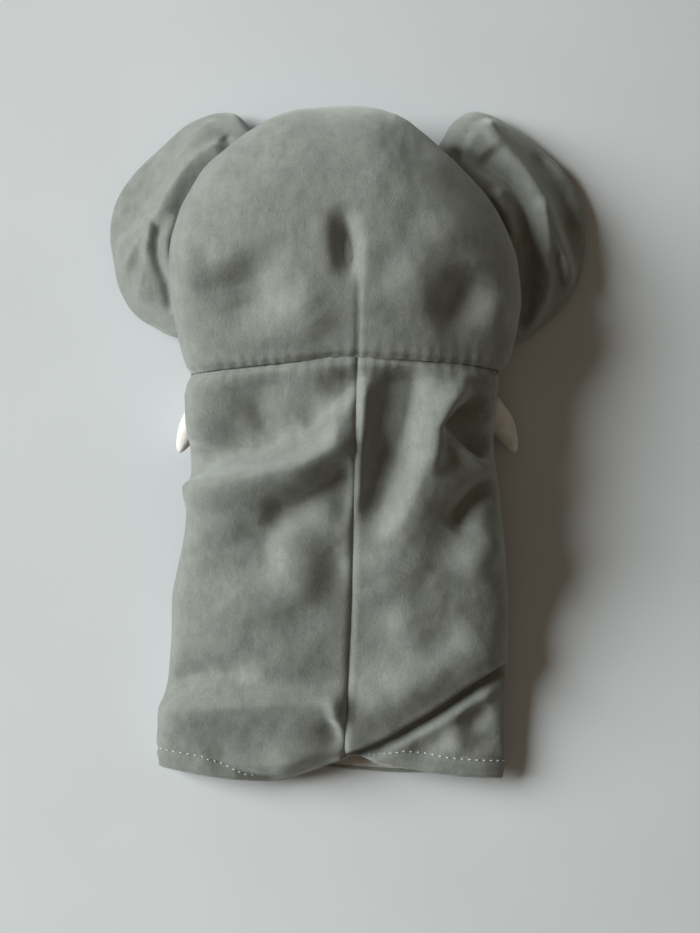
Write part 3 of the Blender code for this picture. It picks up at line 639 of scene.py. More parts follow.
SLEEVE_FOLDS = (
    # The long fold across the left half, with its hollows above and below.
    (((-78, -21), (-54, -15), (-36, -11.5), (-18, -7), (-6, 0.5), (-1, 13)), 8.4, 3.6, 10.0, 0.14),
    (((-78, -12.5), (-54, -6.5), (-40, -2.5), (-24, 4)), -6.6, 14.0, 4.0, 0.16),
    (((-14, 28), (-22, 14), (-34, -1)), -6.4, 9.0, 25.0, 0.35),
    (((-62, 31), (-63, 14), (-66, -3)), 5.6, 13.0, 5.0, 0.2),
    (((-20, 7), (-9, 15), (0, 23), (6, 33)), -5.0, 9.0, 4.6, 0.2),
    (((2, -7), (-8, -18), (-22, -27), (-38, -34)), -5.4, 7.0, 8.0, 0.25),
    (((-1, 0), (-1, -16), (-1, -36)), -3.2, 2.4, 6.0, 0.3),
    # Lower swells under the long fold.
    (((-28, -42), (-21, -55), (-17, -72)), 1.8, 9.0, 9.0, 0.45),
    (((-38, -28), (-35, -44), (-34, -64)), -4.8, 8.0, 20.0, 0.4),
    (((-60, -62), (-50, -72), (-36, -80)), 1.8, 9.0, 10.0, 0.4),
    (((-8, -40), (-4, -52), (-4, -64)), -1.6, 4.0, 7.0, 0.4),
    # Beside the centre seam, on the right half.
    (((7, 33), (7, 14), (5.4, -8), (4.6, -30)), 2.0, 2.8, 2.0, 0.2),
    (((27, 37), (24.5, 20), (20, 2), (15, -18), (8, -42)), -7.4, 6.0, 9.0, 0.2),
    (((26, 37), (24, 20), (19, -2)), -4.0, 6.0, 15.0, 0.25),
    (((58, 28), (48, 20.5), (40, 15.5), (36, 6), (34, -5), (31, -14)), 6.6, 4.6, 6.0, 0.2),
    (((34, 2), (30, -15), (23, -31), (13, -46)), 4.4, 16.0, 6.0, 0.35),
    # The deep hollow at the right side and what bounds it.
    (((41, 13), (47.5, 5.5), (60, -3)), -8.5, 5.4, 5.0, 0.16),
    (((53, 29), (50, 18), (46, 10)), -5.0, 5.0, 5.0, 0.25),
    (((64, 22), (60, 15), (63, 8)), 3.0, 4.5, 4.5, 0.3),
    (((39, 6), (47, -2), (56, -9), (65, -14)), 4.8, 3.0, 4.2, 0.2),
    (((65, -12), (56, -20), (50, -27), (43, -36)), -6.6, 4.4, 5.6, 0.2),
    (((66, -34), (56, -43), (49, -58)), 4.6, 9.0, 9.0, 0.35),
    (((10, -40), (22, -52), (34, -58)), 1.8, 9.0, 9.0, 0.4),
    (((54, -62), (58, -76), (62, -88)), -1.8, 7.0, 7.0, 0.4),
    (((20, -62), (26, -78), (36, -90)), 2.0, 10.0, 10.0, 0.4),
    # The soft ridge over the hem on the left.
    (((-88, -102), (-72, -99), (-56, -97), (-34, -98)), -4.6, 7.0, 4.0, 0.35),
    (((-90, -113), (-66, -111), (-48, -109), (-26, -108), (4, -108)), 6.8, 4.8, 11.0, 0.12),
    (((-64, -131), (-44, -133), (-24, -131)), -2.4, 8.0, 8.0, 0.3),
    (((-8, -112), (-5, -122), (-4, -132)), -2.0, 5.0, 6.0, 0.4),
)
CREASE = ((-2, -134.5), (8, -130.6), (20, -124.6), (38, -113.8), (50, -105.6), (66, -95.5), (76, -90))
FLAP_FOLDS = (
    (((10, -131), (24, -125), (42, -115), (58, -106), (68, -100)), 2.8, 3.2, 4.2),
    (((26, -133), (36, -129), (46, -123)), -1.6, 4.0, 4.0, 0.4),
    (((50, -124), (55, -117), (63, -111)), -2.6, 5.0, 5.0, 0.4),
    (((50, -130), (60, -126), (67, -120)), -0.9, 3.5, 3.5, 0.4),
    (((42, -119), (47, -126), (50, -133)), 1.2, 4.0, 4.0, 0.4),
)


# A valley is as drawn down to FREE_DEPTH, and what is deeper levels out within LAST_DEPTH more.
FREE_DEPTH = 4.8
LAST_DEPTH = 2.2


def sleeve_relief(x, y):
    """How far the back of the sleeve stands out from its plain form."""
    relief = folded(x, y, SLEEVE_FOLDS) + folded(x, y, FLAP_FOLDS)
    too_deep = np.maximum(-relief - FREE_DEPTH, 0)
    relief += too_deep - LAST_DEPTH * np.tanh(too_deep / LAST_DEPTH)
    away, share = beside(x, y, CREASE)
    span = ease(share / 0.06) * ease((1 - share) / 0.16)
    over = 4.6 * bell(away - 16, 10) * (away > 0) * ease(away / 3)
    under = -7.0 * bell(away, np.where(away > 0, 1.5, 3.4))
    step = -2.0 * ease(-away / 2) * bell(away, 22)
    relief += span * (over + under + step * (away < 0))
    relief += 0.9 * lumps(x, y, 16, 11) + 0.28 * lumps(x, y, 6.5, 12) + 0.08 * lumps(x, y, 2.5, 13)
    return relief


def sleeve_point(share, turn):
    """The plain form of the sleeve's back: share runs from the neck to the hem."""
    rough_y = NECK_Y - share * SLEEVE_LENGTH
    middle, half = sleeve_edges(rough_y)
    x = middle + half * np.cos(turn)
    neck, hem = soft_at(NECK_LINE, x), soft_at(HEM_LINE, x, 3)
    y = neck + (hem - neck) * share
    seam, top = soft_at(SEAM_Z, rough_y), soft_at(BACK_Z, rough_y)
    near = ease((rough_y + 25) / 50)
    roundness = soft_at(ROUNDNESS, rough_y) + near * (0.175 * np.tanh(2.5 * np.cos(turn)) - 0.07)
    z = seam + (top - seam) * np.abs(np.sin(turn)) ** roundness
    return np.stack([x, y, z], axis=-1)


def seam_turn(share):
    """The turn at which the centre seam lies."""
    rough_y = NECK_Y - share * SLEEVE_LENGTH
    middle, half = sleeve_edges(rough_y)
    return np.arccos((at(CENTRE_SEAM, rough_y) - middle) / half)


def back_form(first, last, rows, cols):
    """A part of the sleeve's back, from a first to a last turn in each row.

    It gives the plain form, its normals and how far the folds stand out from it."""
    share = np.linspace(0, 1, rows)[:, None]
    turn = first + (last - first) * np.linspace(0, 1, cols)[None, :]
    grid = sleeve_point(share, turn)
    out = normals(grid)
    out *= np.sign(out[..., 2].mean())
    x, y = grid[..., 0], grid[..., 1]
    edge = ease(np.minimum(np.sin(turn) / 0.5, 1)) ** 0.8
    relief = sleeve_relief(x, y) * edge
    depth = soft_at(NECK_LINE, x) - y
    relief *= 0.25 + 0.75 * ease(depth / 9)
    relief += ease(np.sin(turn) / 0.2) * pucker(x, depth, 6, 25) - SEAM_DEPTH * bell(depth, SEAM_WIDTH)
    to_hem = y - soft_at(HEM_LINE, x, 3)
    relief -= 0.7 * bell(to_hem - soft_at(HEM_DEPTH, x, 3), 1.5)
    # The hem rolls under, most of all left of the middle.
    curl = bell(x + 31, 17)
    relief -= (1.5 + 8.0 * curl) * bell(to_hem, 4.4)
    return grid, out, relief


def back_grid(first, last, rows, cols):
    """The same part with its folds, and its normals."""
    grid, out, relief = back_form(first, last, rows, cols)
    return grid + out * relief[..., None], out


def blend_to_head(cloth):
    """Bakes the cloth's transform into its mesh."""
    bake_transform(cloth)


def make_back_panel(side, edge_turn, seam_gap):
    """One half of the sleeve's back, from the turn of its edge to the centre seam."""
    rows, cols = 176, 96
    share = np.linspace(0, 1, rows)[:, None]
    grid, out = back_grid(edge_turn + 0 * share, seam_turn(share) + seam_gap, rows, cols)
    from_side = along_rows(grid)
    from_centre = from_side[:, -1:] - from_side
    roll = 1.2 * bell(from_centre, 1.2) + 1.4 * bell(from_side, 1.8)
    outer = grid - out * roll[..., None]
    # The hem is turned up, so the cloth is thicker there.
    from_hem = np.linspace(1, 0, rows)[:, None] * SLEEVE_LENGTH
    thick = CLOTH + 0.9 * (1 - ease((from_hem - 6) / 3))
    inner = outer - out * (thick * np.ones(cols))[..., None]
    made = slab(f"sleeve_back_{side}_cloth", outer, inner)
    dress(made, PLUSH, "plush", f"sleeve_back_{side}")
    blend_to_head(made)


def make_sleeve_back():
    """The sleeve's back panels, which meet at the centre seam."""
    edge, gap = 0.02, 0.0016
    make_back_panel("left", np.pi - edge, gap)
    make_back_panel("right", edge, -gap)


def front_grid(rows, cols):
    """The sleeve's front, which lies on the ground below the chest and arches over the jaw."""
    share = np.linspace(0, 1, rows)[:, None]
    turn = np.linspace(np.pi, 0, cols)[None, :]
    rough_y = NECK_Y - 0.4 - share * SLEEVE_LENGTH
    middle, half = sleeve_edges(rough_y)
    band = soft_at(SIDE_BAND, rough_y)
    seam, floor = soft_at(SEAM_Z, rough_y), soft_at(FRONT_Z, rough_y)
    edge = half - 1.7
    spread = np.cos(turn)
    width = edge - band * (1 - np.abs(spread) ** 8)
    x = middle + width * spread
    lying = np.abs(np.sin(turn)) ** 0.6
    arched = np.exp(-((np.abs(x) / 36) ** 4)) * np.sin(turn) ** 0.6
    z = seam + (floor - seam) * (lying + (arched - lying) * ease((rough_y + 62) / 24))
    flat = 0.3 + (z + np.sqrt(z**2 + 2)) / 2
    z = np.where(rough_y < -40, flat, z)
    hem = -139.4 - 1.6 * np.sin(x / 21) + 0.00035 * (x - 10) ** 2
    y = NECK_Y - 0.4 + (hem - NECK_Y + 0.4) * share
    resting = bell(z - 0.4, 2)
    relief = (0.8 * lumps(x, y, 16, 31) + 0.4 * lumps(x, y, 7, 32)) * (1 - resting) * np.sin(turn)
    relief -= 1.2 * bell(share * SLEEVE_LENGTH, 2.2)
    return np.stack([x, y, z - relief], axis=-1)


def make_sleeve_front():
    """The sleeve's front panel."""
    rows, cols = 150, 150
    lower = front_grid(rows, cols)
    out = normals(lower)
    out *= -np.sign(out[..., 2].mean())
    upper = lower - out * CLOTH
    made = slab("sleeve_front_cloth", lower, upper)
    dress(made, PLUSH, "plush", "sleeve_front")
    blend_to_head(made)


def lowest_near(values, reach):
    """The lowest value within reach rows and columns of each."""
    found = values.copy()
    for di in range(-reach, reach + 1):
        for dj in range(-reach, reach + 1):
            shifted = np.roll(np.roll(values, di, axis=0), dj, axis=1)
            if di > 0:
                shifted[:di] = values[:di]
            if di < 0:
                shifted[di:] = values[di:]
            if dj > 0:
                shifted[:, :dj] = values[:, :dj]
            if dj < 0:
                shifted[:, dj:] = values[:, dj:]
            found = np.minimum(found, shifted)
    return found


# How far the lining's plain form lies from each panel, and how far each of its sides may be moved.
LINING_UNDER_BACK = 3.8
LINING_OVER_FRONT = 1.9
MOST_BACK_LIFT = 2.0
MOST_FRONT_DROP = 0.9


def make_lining():
    """A tube of thin cloth that follows the inside of the sleeve."""
    rows, cols = 100, 110
    share = np.linspace(0, 1, rows)[:, None]
    zero = 0 * share
    along_y = np.array([0, 1, 0])
    below_seam = 2.5 * (1 - share)[..., None] * along_y
    plain, out, relief = back_form(0.10 + zero, np.pi - 0.10 + zero, rows, cols)
    # It stays under the back cloth's lowest places, and closer to it where they are deep.
    lowest = lowest_near(relief, 5)
    back = plain + out * (lowest - LINING_UNDER_BACK + ease((-lowest - 4) / 4))[..., None]
    front = front_grid(rows, cols)[:, 6:-6]
    front[..., 2] += LINING_OVER_FRONT
    centre = 0.5 * (back[:, :1] + back[:, -1:])
    front[..., 0] = centre[..., 0] + (front[..., 0] - centre[..., 0]) * 0.95
    back[..., 0] = centre[..., 0] + (back[..., 0] - centre[..., 0]) * 0.97
    # Its two sides keep apart as far as the cloth on either side of them has room.
    front_z, back_z = front[..., 2], back[..., 2]
    back[..., 2] = np.clip(height_under(front, back) + 0.9, back_z, back_z + MOST_BACK_LIFT)
    front[..., 2] = np.clip(height_under(back, front) - 0.5, front_z - MOST_FRONT_DROP, front_z)
    ring = np.concatenate([back, front], axis=1) - below_seam
    middle = ring.mean(axis=1, keepdims=True)
    inner = middle + (ring - middle) * 0.988
    # It ends a little short of the hem.
    short = 1.2 * ease((share * SLEEVE_LENGTH - 160) / 10)[..., None] * along_y
    rings = [*(ring + short)] + [*(inner + short)][::-1]
    faces = grid_faces(2 * rows, ring.shape[1], wrap=True)
    last = (2 * rows - 1) * ring.shape[1]
    for j in range(ring.shape[1]):
        k = (j + 1) % ring.shape[1]
        faces.append((last + j, last + k, k, j))
    made = make("sleeve_lining_cloth", np.concatenate(rings), faces)
    dress(made, LINING, "lining", "sleeve_lining")
    blend_to_head(made)


def height_under(sheet, points):
    """A sheet's height at the points' places across, row by row."""
    found = np.empty(points.shape[:2])
    for i in range(len(points)):
        order = np.argsort(sheet[i, :, 0])
        found[i] = np.interp(points[i, :, 0], sheet[i, order, 0], sheet[i, order, 2])
    return found


def make_stitching():
    """Separate topstitches in a line round the back of the hem."""
    rows, cols = 176, 240
    share = np.linspace(0, 1, rows)[:, None]
    zero = 0 * share
    grid, out = back_grid(0.05 + zero, np.pi - 0.05 + zero, rows, cols)
    to_hem = grid[..., 1] - soft_at(HEM_LINE, grid[..., 0], 3)
    line, lift = [], []
    for j in range(cols):
        i = int(np.argmin(np.abs(to_hem[:, j] - soft_at(HEM_DEPTH, grid[:, j, 0], 3))))
        line.append(grid[i, j])
        lift.append(out[i, j])
    line, lift = np.array(line), np.array(lift)
    steps = np.concatenate([[0], np.cumsum(np.linalg.norm(np.diff(line, axis=0), axis=1))])
    points, faces = [], []
    starts = np.arange(2.0, steps[-1] - STITCH_LENGTH - 1, STITCH_PITCH)
    sides = 8
    around = 2 * np.pi * np.arange(sides) / sides
    for number, start in enumerate(starts):
        if at(HEM_DEPTH, np.interp(start, steps, line[:, 0])) < 2:
            continue
        sway = 0.25 * math.sin(number * 1.7)
        rings = []
        for part in np.linspace(0, 1, 7):
            where = start + STITCH_LENGTH * part
            spot = np.array([np.interp(where, steps, line[:, k]) for k in range(3)])
            normal = np.array([np.interp(where, steps, lift[:, k]) for k in range(3)])
            ahead = np.array([np.interp(where + 0.4, steps, line[:, k]) for k in range(3)]) - spot
            ahead /= max(np.linalg.norm(ahead), 1e-9)
            aside = np.cross(normal, ahead)
            arch = math.sin(math.pi * part)
            radius = THREAD_RADIUS * (0.45 + 0.55 * arch**0.5)
            centre = spot + normal * (0.62 * arch - 0.25) + aside * sway * (part - 0.5)
            spokes = [math.cos(a) * aside + 0.8 * math.sin(a) * normal for a in around]
            rings.append([centre + radius * spoke for spoke in spokes])
        first = len(points)
        for ring in rings:
            points.extend(ring)
        last = first + sides * (len(rings) - 1)
        faces.extend(grid_faces(len(rings), sides, first, wrap=True))
        faces.append(tuple(first + k for k in range(sides))[::-1])
        faces.append(tuple(last + k for k in range(sides)))
    made = make("hem_stitches", np.array(points), faces)
    dress(made, THREAD, "thread", "hem_stitching")
    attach(made, "sleeve")


# Ears

LEFT_EAR = {
    "sign": -1,
    "rim": ((-37, 131), (-41.6, 136.5), (-47.5, 142.5), (-54, 143.6), (-61, 142), (-69.5, 138), (-79, 129.6),
            (-92, 117), (-99.8, 104.6), (-102.2, 91.6), (-100.8, 80), (-98, 67), (-91.5, 56.4), (-82.5, 50.5),
            (-74, 46.6), (-66, 46)),
    "root": ((-34, 126), (-44, 120), (-54, 110), (-61, 98), (-64.5, 86), (-66, 74), (-66, 62), (-64, 52)),
    "folds": (
        # The two long creased lines from the ear's tip, which meet half way down.
        (((-55, 141), (-62, 134), (-71, 122), (-79, 104), (-83, 92), (-85.5, 76), (-88, 66), (-90, 58)),
         4.2, 9.0, 2.8, 0.08),
        (((-50, 129), (-64, 121), (-75, 106.5), (-82, 93)), 3.4, 8.0, 2.4, 0.15),
        # The creases that run out to the rim, and the hollow panel above them.
        (((-83, 97), (-92, 89), (-102, 81)), 3.4, 6.5, 2.2, 0.15),
        (((-86, 89), (-92, 81), (-98, 73)), 2.4, 5.0, 2.0, 0.2),
        (((-76, 124), (-86, 109), (-94, 94)), -2.2, 6.0, 6.0, 0.3),
        # The groove beside the head, and the swell inside it.
        (((-79.5, 94), (-80, 80), (-76, 68), (-74, 54)), -2.4, 2.0, 2.6, 0.15),
        (((-70, 98), (-75.5, 88), (-75, 78), (-70, 68)), 2.6, 3.2, 3.0, 0.2),
        (((-53, 131), (-50.5, 128), (-48, 125)), -1.6, 2.8, 2.8, 0.3),
    ),
}
RIGHT_EAR = {
    "sign": 1,
    "rim": ((36, 125), (40.5, 131), (45.5, 139), (53.5, 144), (63, 142), (74, 135.6), (87, 125), (94, 118),
            (101, 104.6), (103.2, 91), (101.2, 75), (95, 62), (83, 50), (72, 43.6), (65, 44.6)),
    "root": ((34, 121), (44, 116), (54, 107), (61, 97), (64.5, 86), (66, 74), (66, 62), (64, 52)),
    "folds": (
        (((59, 141), (65, 130), (76, 117), (84, 103.6), (89, 90), (94, 76), (97, 68)), 5.4, 2.6, 5.0, 0.06),
        (((42, 125), (58, 118), (71, 109), (75, 93), (77.5, 77), (76.4, 60), (73, 47)), -6.0, 3.4, 4.6, 0.08),
        (((82, 106), (85, 87), (86, 73), (83.4, 60), (75, 48)), 3.6, 2.6, 4.0, 0.12),
        (((88, 84), (90.5, 76), (92, 66)), -2.2, 2.6, 2.6, 0.2),
        (((78, 128), (88, 114), (94, 98), (94.6, 84)), -3.4, 4.0, 4.0, 0.2),
        (((50, 132), (56, 129), (62, 122)), 2.4, 6.0, 6.0, 0.3),
        (((60, 108), (66, 101), (71, 86)), 4.4, 3.0, 3.0, 0.2),
        (((62, 97), (65, 92), (68, 86)), -2.4, 1.6, 1.6, 0.3),
    ),
}


def resampled(path, count):
    """A path's smooth curve at that many even shares of its length."""
    line = curve(path, 10)
    steps = np.concatenate([[0], np.cumsum(np.linalg.norm(np.diff(line, axis=0), axis=1))])
    where = np.linspace(0, steps[-1], count)
    return np.stack([np.interp(where, steps, line[:, k]) for k in range(2)], axis=-1)


def make_ear(side, ear):
    """An ear's two skins, which meet at its rim, from its root at the head outwards."""
    rows, cols = 120, 72
    sign = ear["sign"]
    rim, root = resampled(ear["rim"], rows), resampled(ear["root"], rows)
    v = np.sin(np.linspace(0, np.pi / 2, cols))[None, :, None]
    plan = root[:, None] * (1 - v) + rim[:, None] * v
    x, y = plan[..., 0], plan[..., 1]
    share = v[..., 0]
    along = np.linspace(0, 1, rows)[:, None]
    ends = ease(along / 0.06) * ease((1 - along) / 0.06)
    middle = 21.5 - 15.9 * share**1.5
    rim_round = np.sqrt(np.clip(1 - share**6, 0, 1))
    half = (2.2 + 3.2 * np.sqrt(np.clip(1 - share**2, 0, 1))) * rim_round
    half = half * (0.35 + 0.65 * ends)
    relief = folded(x, y, ear["folds"]) + 0.5 * lumps(x, y, 9, 41 + sign) + 0.2 * lumps(x, y, 4, 44)
    inside = ease((1 - share) / 0.10)
    top = middle + half + relief * inside * (0.2 + 0.8 * ends)
    low = middle - half + 0.35 * relief * inside * ends
    low = np.maximum(low, 0.4 + 0.5 * ease(share))
    top = np.maximum(top, low + 1.2 * rim_round)
    line = np.clip(middle, low + 0.05 * (top - low), top - 0.05 * (top - low))
    upper, lower, between = (np.concatenate([plan, z[..., None]], axis=-1) for z in (top, low, line))
    seam = np.array([0, 0, 0.05])
    back = slab(f"ear_back_{side}_cloth", upper, between + seam, 0.1)
    dress(back, PLUSH, "plush", f"ear_back_{side}", f"ear_batting_{side}")
    front = slab(f"ear_front_{side}_cloth", lower, between - seam, 0.1)
    dress(front, EAR_PLUSH, "ear_front", f"ear_front_{side}")
    for piece in (back, front):
        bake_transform(piece)


# Muzzle, mouth, trunk and tusks

MOUTH_SLOPE = math.radians(20)
THROAT = np.array([0, 28.0, 34.3])
# The muzzle, as (y, half its width, its low side).
MUZZLE = ((34, 33.5, 14.8), (26, 33, 14.9), (20, 32, 15), (8, 29, 15), (-3, 23.5, 15), (-8, 18, 15.4),
          (-11.5, 10, 17), (-13.2, 3, 18.4))
# Half the width of each layer of the mouth, and its length.
PALATE = (25.9, 41.9)
JAW_LINING = (23.9, 40.9)
JAW = (24.0, 41.0)
TRUNK_PIVOT_Y = 49.0
TIP_PIVOT_Y = 4.0
CREASE_PITCH = 9.5


def mouth_point(x, forward, height):
    """A point over the palate's plane: forward is its distance from the throat."""
    y = THROAT[1] - forward * math.cos(MOUTH_SLOPE) - height * math.sin(MOUTH_SLOPE)
    z = THROAT[2] - forward * math.sin(MOUTH_SLOPE) + height * math.cos(MOUTH_SLOPE)
    return np.stack([x, y, z], axis=-1)


def make_muzzle():
    """The stuffed snout under the palate, closed on top by the palate's board."""
    rings = []
    for y in np.linspace(33.5, -13.1, 60):
        half, low = column_at(MUZZLE, 1, y, 2), column_at(MUZZLE, 2, y, 2)
        top = THROAT[2] - (THROAT[1] - y) * math.tan(MOUTH_SLOPE) - 0.5
        turn = 2 * np.pi * np.arange(96) / 96
        drop = np.maximum(top - low, 1.0)
        below, rise = np.sin(turn) < 0, np.abs(np.sin(turn))
        x = half * np.cos(turn)
        z = np.where(below, top - drop * rise**0.6, top - 0.3 + 0.3 * rise)
        relief = (0.5 * lumps(x, y + z, 9, 51) + 0.2 * lumps(x, y + z, 3.5, 52)) * below
        lip_groove = 0.6 * bell(x, 1.6) * below
        z = np.minimum(z + relief + lip_groove, top)
        rings.append(np.stack([x * (1 + relief / 60), y + 0 * x, z], axis=-1))
    muzzle = tube("muzzle_plush", rings)
    dress(muzzle, PLUSH, "plush", "muzzle_cover", "muzzle_stuffing")
    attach(muzzle, "head")


def tongue_slab(name, size, low, high, finish, slot, body, node):
    """A thin layer of the mouth with rounded edges, from the throat to the lip."""
    half, length = size
    rows, cols = 40, 40
    forward = np.sin(np.linspace(0, np.pi / 2, rows))[:, None] * length
    width = half * np.sqrt(np.clip(1 - (forward / length) ** 2.3, 0.0009, 1))
    x = width * np.linspace(-1, 1, cols)[None, :]
    forward = forward + 0 * x
    wave = 0.10 * lumps(x, forward, 6, 61)
    outer = mouth_point(x, forward, high + wave)
    inner = mouth_point(x, forward, low + 0 * x)
    made = slab(name, outer, inner, 0.3)
    dress(made, finish, slot, node)
    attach(made, body)


def make_mouth():
    """The two boards and their cloths, and the jaw's plush cover over them."""
    tongue_slab("palate_stiffener", PALATE, 0.05, 1.15, BOARD, "board", "head", "palate_board")
    tongue_slab("palate_cloth", PALATE, 1.5, 2.25, MOUTH, "mouth", "head", "palate_lining")
    tongue_slab("jaw_cloth", JAW_LINING, 2.6, 3.35, MOUTH, "mouth", "lower_jaw", "jaw_lining")
    tongue_slab("jaw_stiffener", JAW_LINING, 3.7, 4.85, BOARD, "board", "lower_jaw", "jaw_board")
    rows, cols = 64, 72
    forward = np.sin(np.linspace(0, np.pi / 2, rows))[:, None] * JAW[1]
    width = JAW[0] * np.sqrt(np.clip(1 - (forward / JAW[1]) ** 2.1, 0.0009, 1))
    spread = np.sin(np.linspace(-np.pi / 2, np.pi / 2, cols))[None, :]
    x = width * spread
    forward = forward + 0 * x
    across = np.sqrt(np.clip(1 - spread**2, 0, 1))
    dome = 4.9 * across * np.sqrt(np.clip(1 - (forward / JAW[1]) ** 2, 0, 1)) ** 0.8
    dome = dome + (0.35 * lumps(x, forward, 7, 63) + 0.12 * lumps(x, forward, 3, 64)) * ease(dome / 2)
    groove = 0.7 * bell(x, 1.4) * ease(dome / 2)
    outer = mouth_point(x, forward, 5.55 + np.maximum(dome - groove, 0.5))
    inner = mouth_point(x, forward, 5.3 + 0 * x)
    jaw = slab("jaw_plush", outer, inner, 0.2)
    dress(jaw, PLUSH, "plush", "jaw_cover")
    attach(jaw, "lower_jaw")


def trunk_ring(y, half, height):
    """The trunk's cross-section at y, which lies on the ground."""
    turn = 2 * np.pi * np.arange(72) / 72
    across, up = np.cos(turn), np.sin(turn)
    x = half * np.sign(across) * np.abs(across) ** 0.85
    z = height / 2 + height / 2 * np.sign(up) * np.abs(up) ** 0.85
    groove = bell(up, 0.10) * 0.5
    relief = 0.35 * lumps(x * 1.2, y + z, 6, 71) + 0.12 * lumps(x, y + z, 2.6, 72) - groove
    # Soft creases across the trunk's back and sides.
    relief = relief - 0.45 * bell((y + 3) % CREASE_PITCH - 4.7, 1.1) * (up > -0.3)
    size = 1 + relief / max(half, 3)
    x = x * size
    z = height / 2 + (z - height / 2) * size
    return np.stack([x, y + 0 * x, np.maximum(z, 0.3)], axis=-1)


def trunk_piece(name, stations, body, *nodes):
    """A length of the trunk through stations of (y, half its width, its height)."""
    rings = []
    places = [-s[0] for s in stations]
    for y in np.linspace(stations[0][0], stations[-1][0], 70):
        half, height = (float(np.interp(-y, places, [s[k] for s in stations])) for k in (1, 2))
        rings.append(trunk_ring(y, half, height))
    made = tube(name, rings)
    dress(made, PLUSH, "plush", *nodes)
    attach(made, body)


def round_stations(centre, radius, height, way):
    """The stations of a rounded end that points up (way 1) or down (way -1) the y axis."""
    found = []
    for degrees in (86, 75, 60, 45, 30, 15, 0):
        turn = math.radians(degrees)
        y = centre + way * radius * math.sin(turn)
        found.append((y, radius * math.cos(turn), max(height * math.cos(turn) ** 0.5, 2.5)))
    return found


def make_trunk():
    """The trunk's two lengths, each with a round end at its own joint."""
    root = round_stations(TRUNK_PIVOT_Y, 12.4, 13.9, 1)
    join = round_stations(TIP_PIVOT_Y, 9.6, 12.5, 1)
    upper = [*root, (15.4, 10.4, 12.8), (14.6, 9.6, 12.2)]
    trunk_piece("trunk_plush", upper, "trunk", "trunk_cover", "trunk_stuffing")
    end = round_stations(-34.5, 7.5, 11, -1)[::-1]
    trunk_piece("trunk_tip_plush", [*join, *end], "trunk_tip", "trunk_tip_cover", "trunk_tip_stuffing")


def make_tusks():
    """Two stuffed points of felt, along a curve from the cheeks outwards and down."""
    root, bend, tip = (np.array(p, float) for p in ((35.6, 24, 21), (63, 22, 14), (72, -3, 10)))
    for side, sign in (("left", -1), ("right", 1)):
        rings = []
        for t in np.linspace(0, 1, 60):
            centre = (1 - t) ** 2 * root + 2 * t * (1 - t) * bend + t**2 * tip
            ahead = (1 - t) * (bend - root) + t * (tip - bend)
            ahead /= np.linalg.norm(ahead)
            aside = np.cross(ahead, [0, 0, 1])
            aside /= np.linalg.norm(aside)
            above = np.cross(aside, ahead)
            radius = 0.5 + 7.6 * max(1 - t**3.0, 0) ** 0.7
            turn = 2 * np.pi * np.arange(48) / 48
            seam = 0.07 * bell(np.sin(turn), 0.14)
            swell = 1 + 0.05 * lumps(turn * 4, t * 40 + 0 * turn, 3, 81 + sign) - seam
            spokes = np.cos(turn)[:, None] * aside + np.sin(turn)[:, None] * above
            ring = centre + radius * swell[:, None] * spokes
            ring[:, 0] *= sign
            rings.append(ring)
        made = tube(f"tusk_{side}_felt", rings)
        dress(made, TUSK, "tusk", f"tusk_{side}")
        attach(made, "head")


def finish_cad_nodes():
    """The eyes and their washers keep their CAD shapes and get their materials."""
    for side in ("left", "right"):
        for node, finish in ((f"eye_{side}", EYE), (f"eye_washer_{side}", WASHER)):
            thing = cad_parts[node]
            thing.data.materials.clear()
            thing.data.materials.append(finish)


# Stage

# The long side of the picture covers VIEW_LENGTH metres at VIEW_DISTANCE metres.
VIEW_LENGTH = 0.39186
VIEW_DISTANCE = 0.9

def make_stage():
    """A pale matte table, with painted shade that makes its colour darker to the right, away from the window.
    """
    n = Nodes("pale_table")
    cloud = n.ramp(n.noise(60, 3, 0.5), (0.3, (0.97,) * 3), (0.7, (1.0,) * 3))
    apart = n.add("ShaderNodeSeparateXYZ")
    n.link(n.place, apart.inputs["Vector"])
    # Painted shade: the table's colour darkens from left to right, in place of the window's light falling
    # off.
    across = n.math("MULTIPLY", n.math("ADD", apart.outputs["X"], 0.2), 2.0)
    left, middle, right = (0.705, 0.735, 0.757), (0.685, 0.716, 0.733), (0.455, 0.475, 0.487)
    shade = n.ramp(across, (0.0, left), (0.25, middle), (1.0, right))
    n.finish(n.mix(1.0, shade, cloud, "MULTIPLY"), 1.0, None, Specular_IOR_Level=0.0)
    mesh = bpy.data.meshes.new("table_top")
    size = 40.0
    corners = [(-size, -size, 0), (size, -size, 0), (size, size, 0), (-size, size, 0)]
    mesh.from_pydata(corners, [], [(0, 1, 2, 3)])
    mesh.update()
    table = bpy.data.objects.new("table_top", mesh)
    mesh.materials.append(n.material)
    bpy.context.scene.collection.objects.link(table)


def place_light(light, towards):
    """Puts a lamp in the scene, facing along a direction."""
    lamp = bpy.data.objects.new(light.name, light)
    lamp.rotation_mode = "QUATERNION"
    lamp.rotation_quaternion = towards.to_track_quat("-Z", "Y")
    bpy.context.scene.collection.objects.link(lamp)
    return lamp


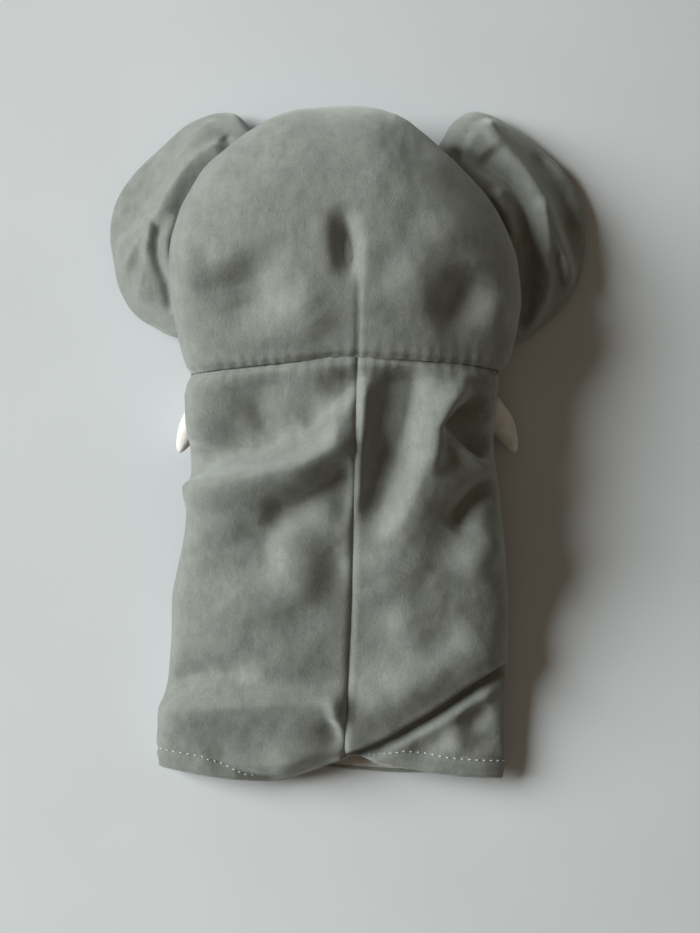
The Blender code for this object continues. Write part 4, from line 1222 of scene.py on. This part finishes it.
def make_window():
    """Soft daylight from a window low on the left."""
    rise, turn = math.radians(30), math.radians(16)
    level = math.cos(rise)
    source = Vector((-level * math.cos(turn), level * math.sin(turn), math.sin(rise)))
    light = bpy.data.lights.new("window", "SUN")
    light.energy = 4.75
    light.angle = math.radians(36)
    light.color = (0.965, 1.0, 1.0)
    place_light(light, -source)


def make_room():
    """Weak warm light from the room, above and on the right."""
    light = bpy.data.lights.new("room", "AREA")
    light.shape = "RECTANGLE"
    light.size, light.size_y = 2.5, 2.5
    light.energy = 3.6
    light.color = (1.0, 0.84, 0.64)
    source = Vector((0.5, -0.3, 2.4))
    lamp = place_light(light, -source)
    lamp.location = source
    lamp.visible_camera = False


def make_surroundings():
    """Warm light from all round, seen by the camera as plain grey."""
    world = bpy.data.worlds.new("room_light")
    world.use_nodes = True
    tree = world.node_tree
    lit = tree.nodes["Background"]
    lit.inputs["Color"].default_value = (0.86, 0.70, 0.52, 1)
    lit.inputs["Strength"].default_value = 0.095
    seen = tree.nodes.new("ShaderNodeBackground")
    seen.inputs["Color"].default_value = (0.50, 0.51, 0.51, 1)
    path = tree.nodes.new("ShaderNodeLightPath")
    mix = tree.nodes.new("ShaderNodeMixShader")
    tree.links.new(path.outputs["Is Camera Ray"], mix.inputs["Fac"])
    tree.links.new(lit.outputs["Background"], mix.inputs[1])
    tree.links.new(seen.outputs["Background"], mix.inputs[2])
    tree.links.new(mix.outputs["Shader"], tree.nodes["World Output"].inputs["Surface"])
    bpy.context.scene.world = world
    bpy.context.scene.view_settings.view_transform = "Standard"


def make_camera():
    """A camera straight above the puppet."""
    data = bpy.data.cameras.new("camera")
    data.sensor_width = 36
    data.lens = data.sensor_width / 2 / (VIEW_LENGTH / 2) * VIEW_DISTANCE
    camera = bpy.data.objects.new("camera", data)
    camera.location = (0.00126, -0.00903, 0.93)
    bpy.context.scene.collection.objects.link(camera)
    bpy.context.scene.camera = camera


make_head()
make_finger_pocket()
make_sleeve_back()
make_sleeve_front()
make_lining()
make_stitching()
make_ear("left", LEFT_EAR)
make_ear("right", RIGHT_EAR)
make_muzzle()
make_mouth()
make_trunk()
make_tusks()
finish_cad_nodes()
make_stage()
make_window()
make_room()
make_surroundings()
make_camera()
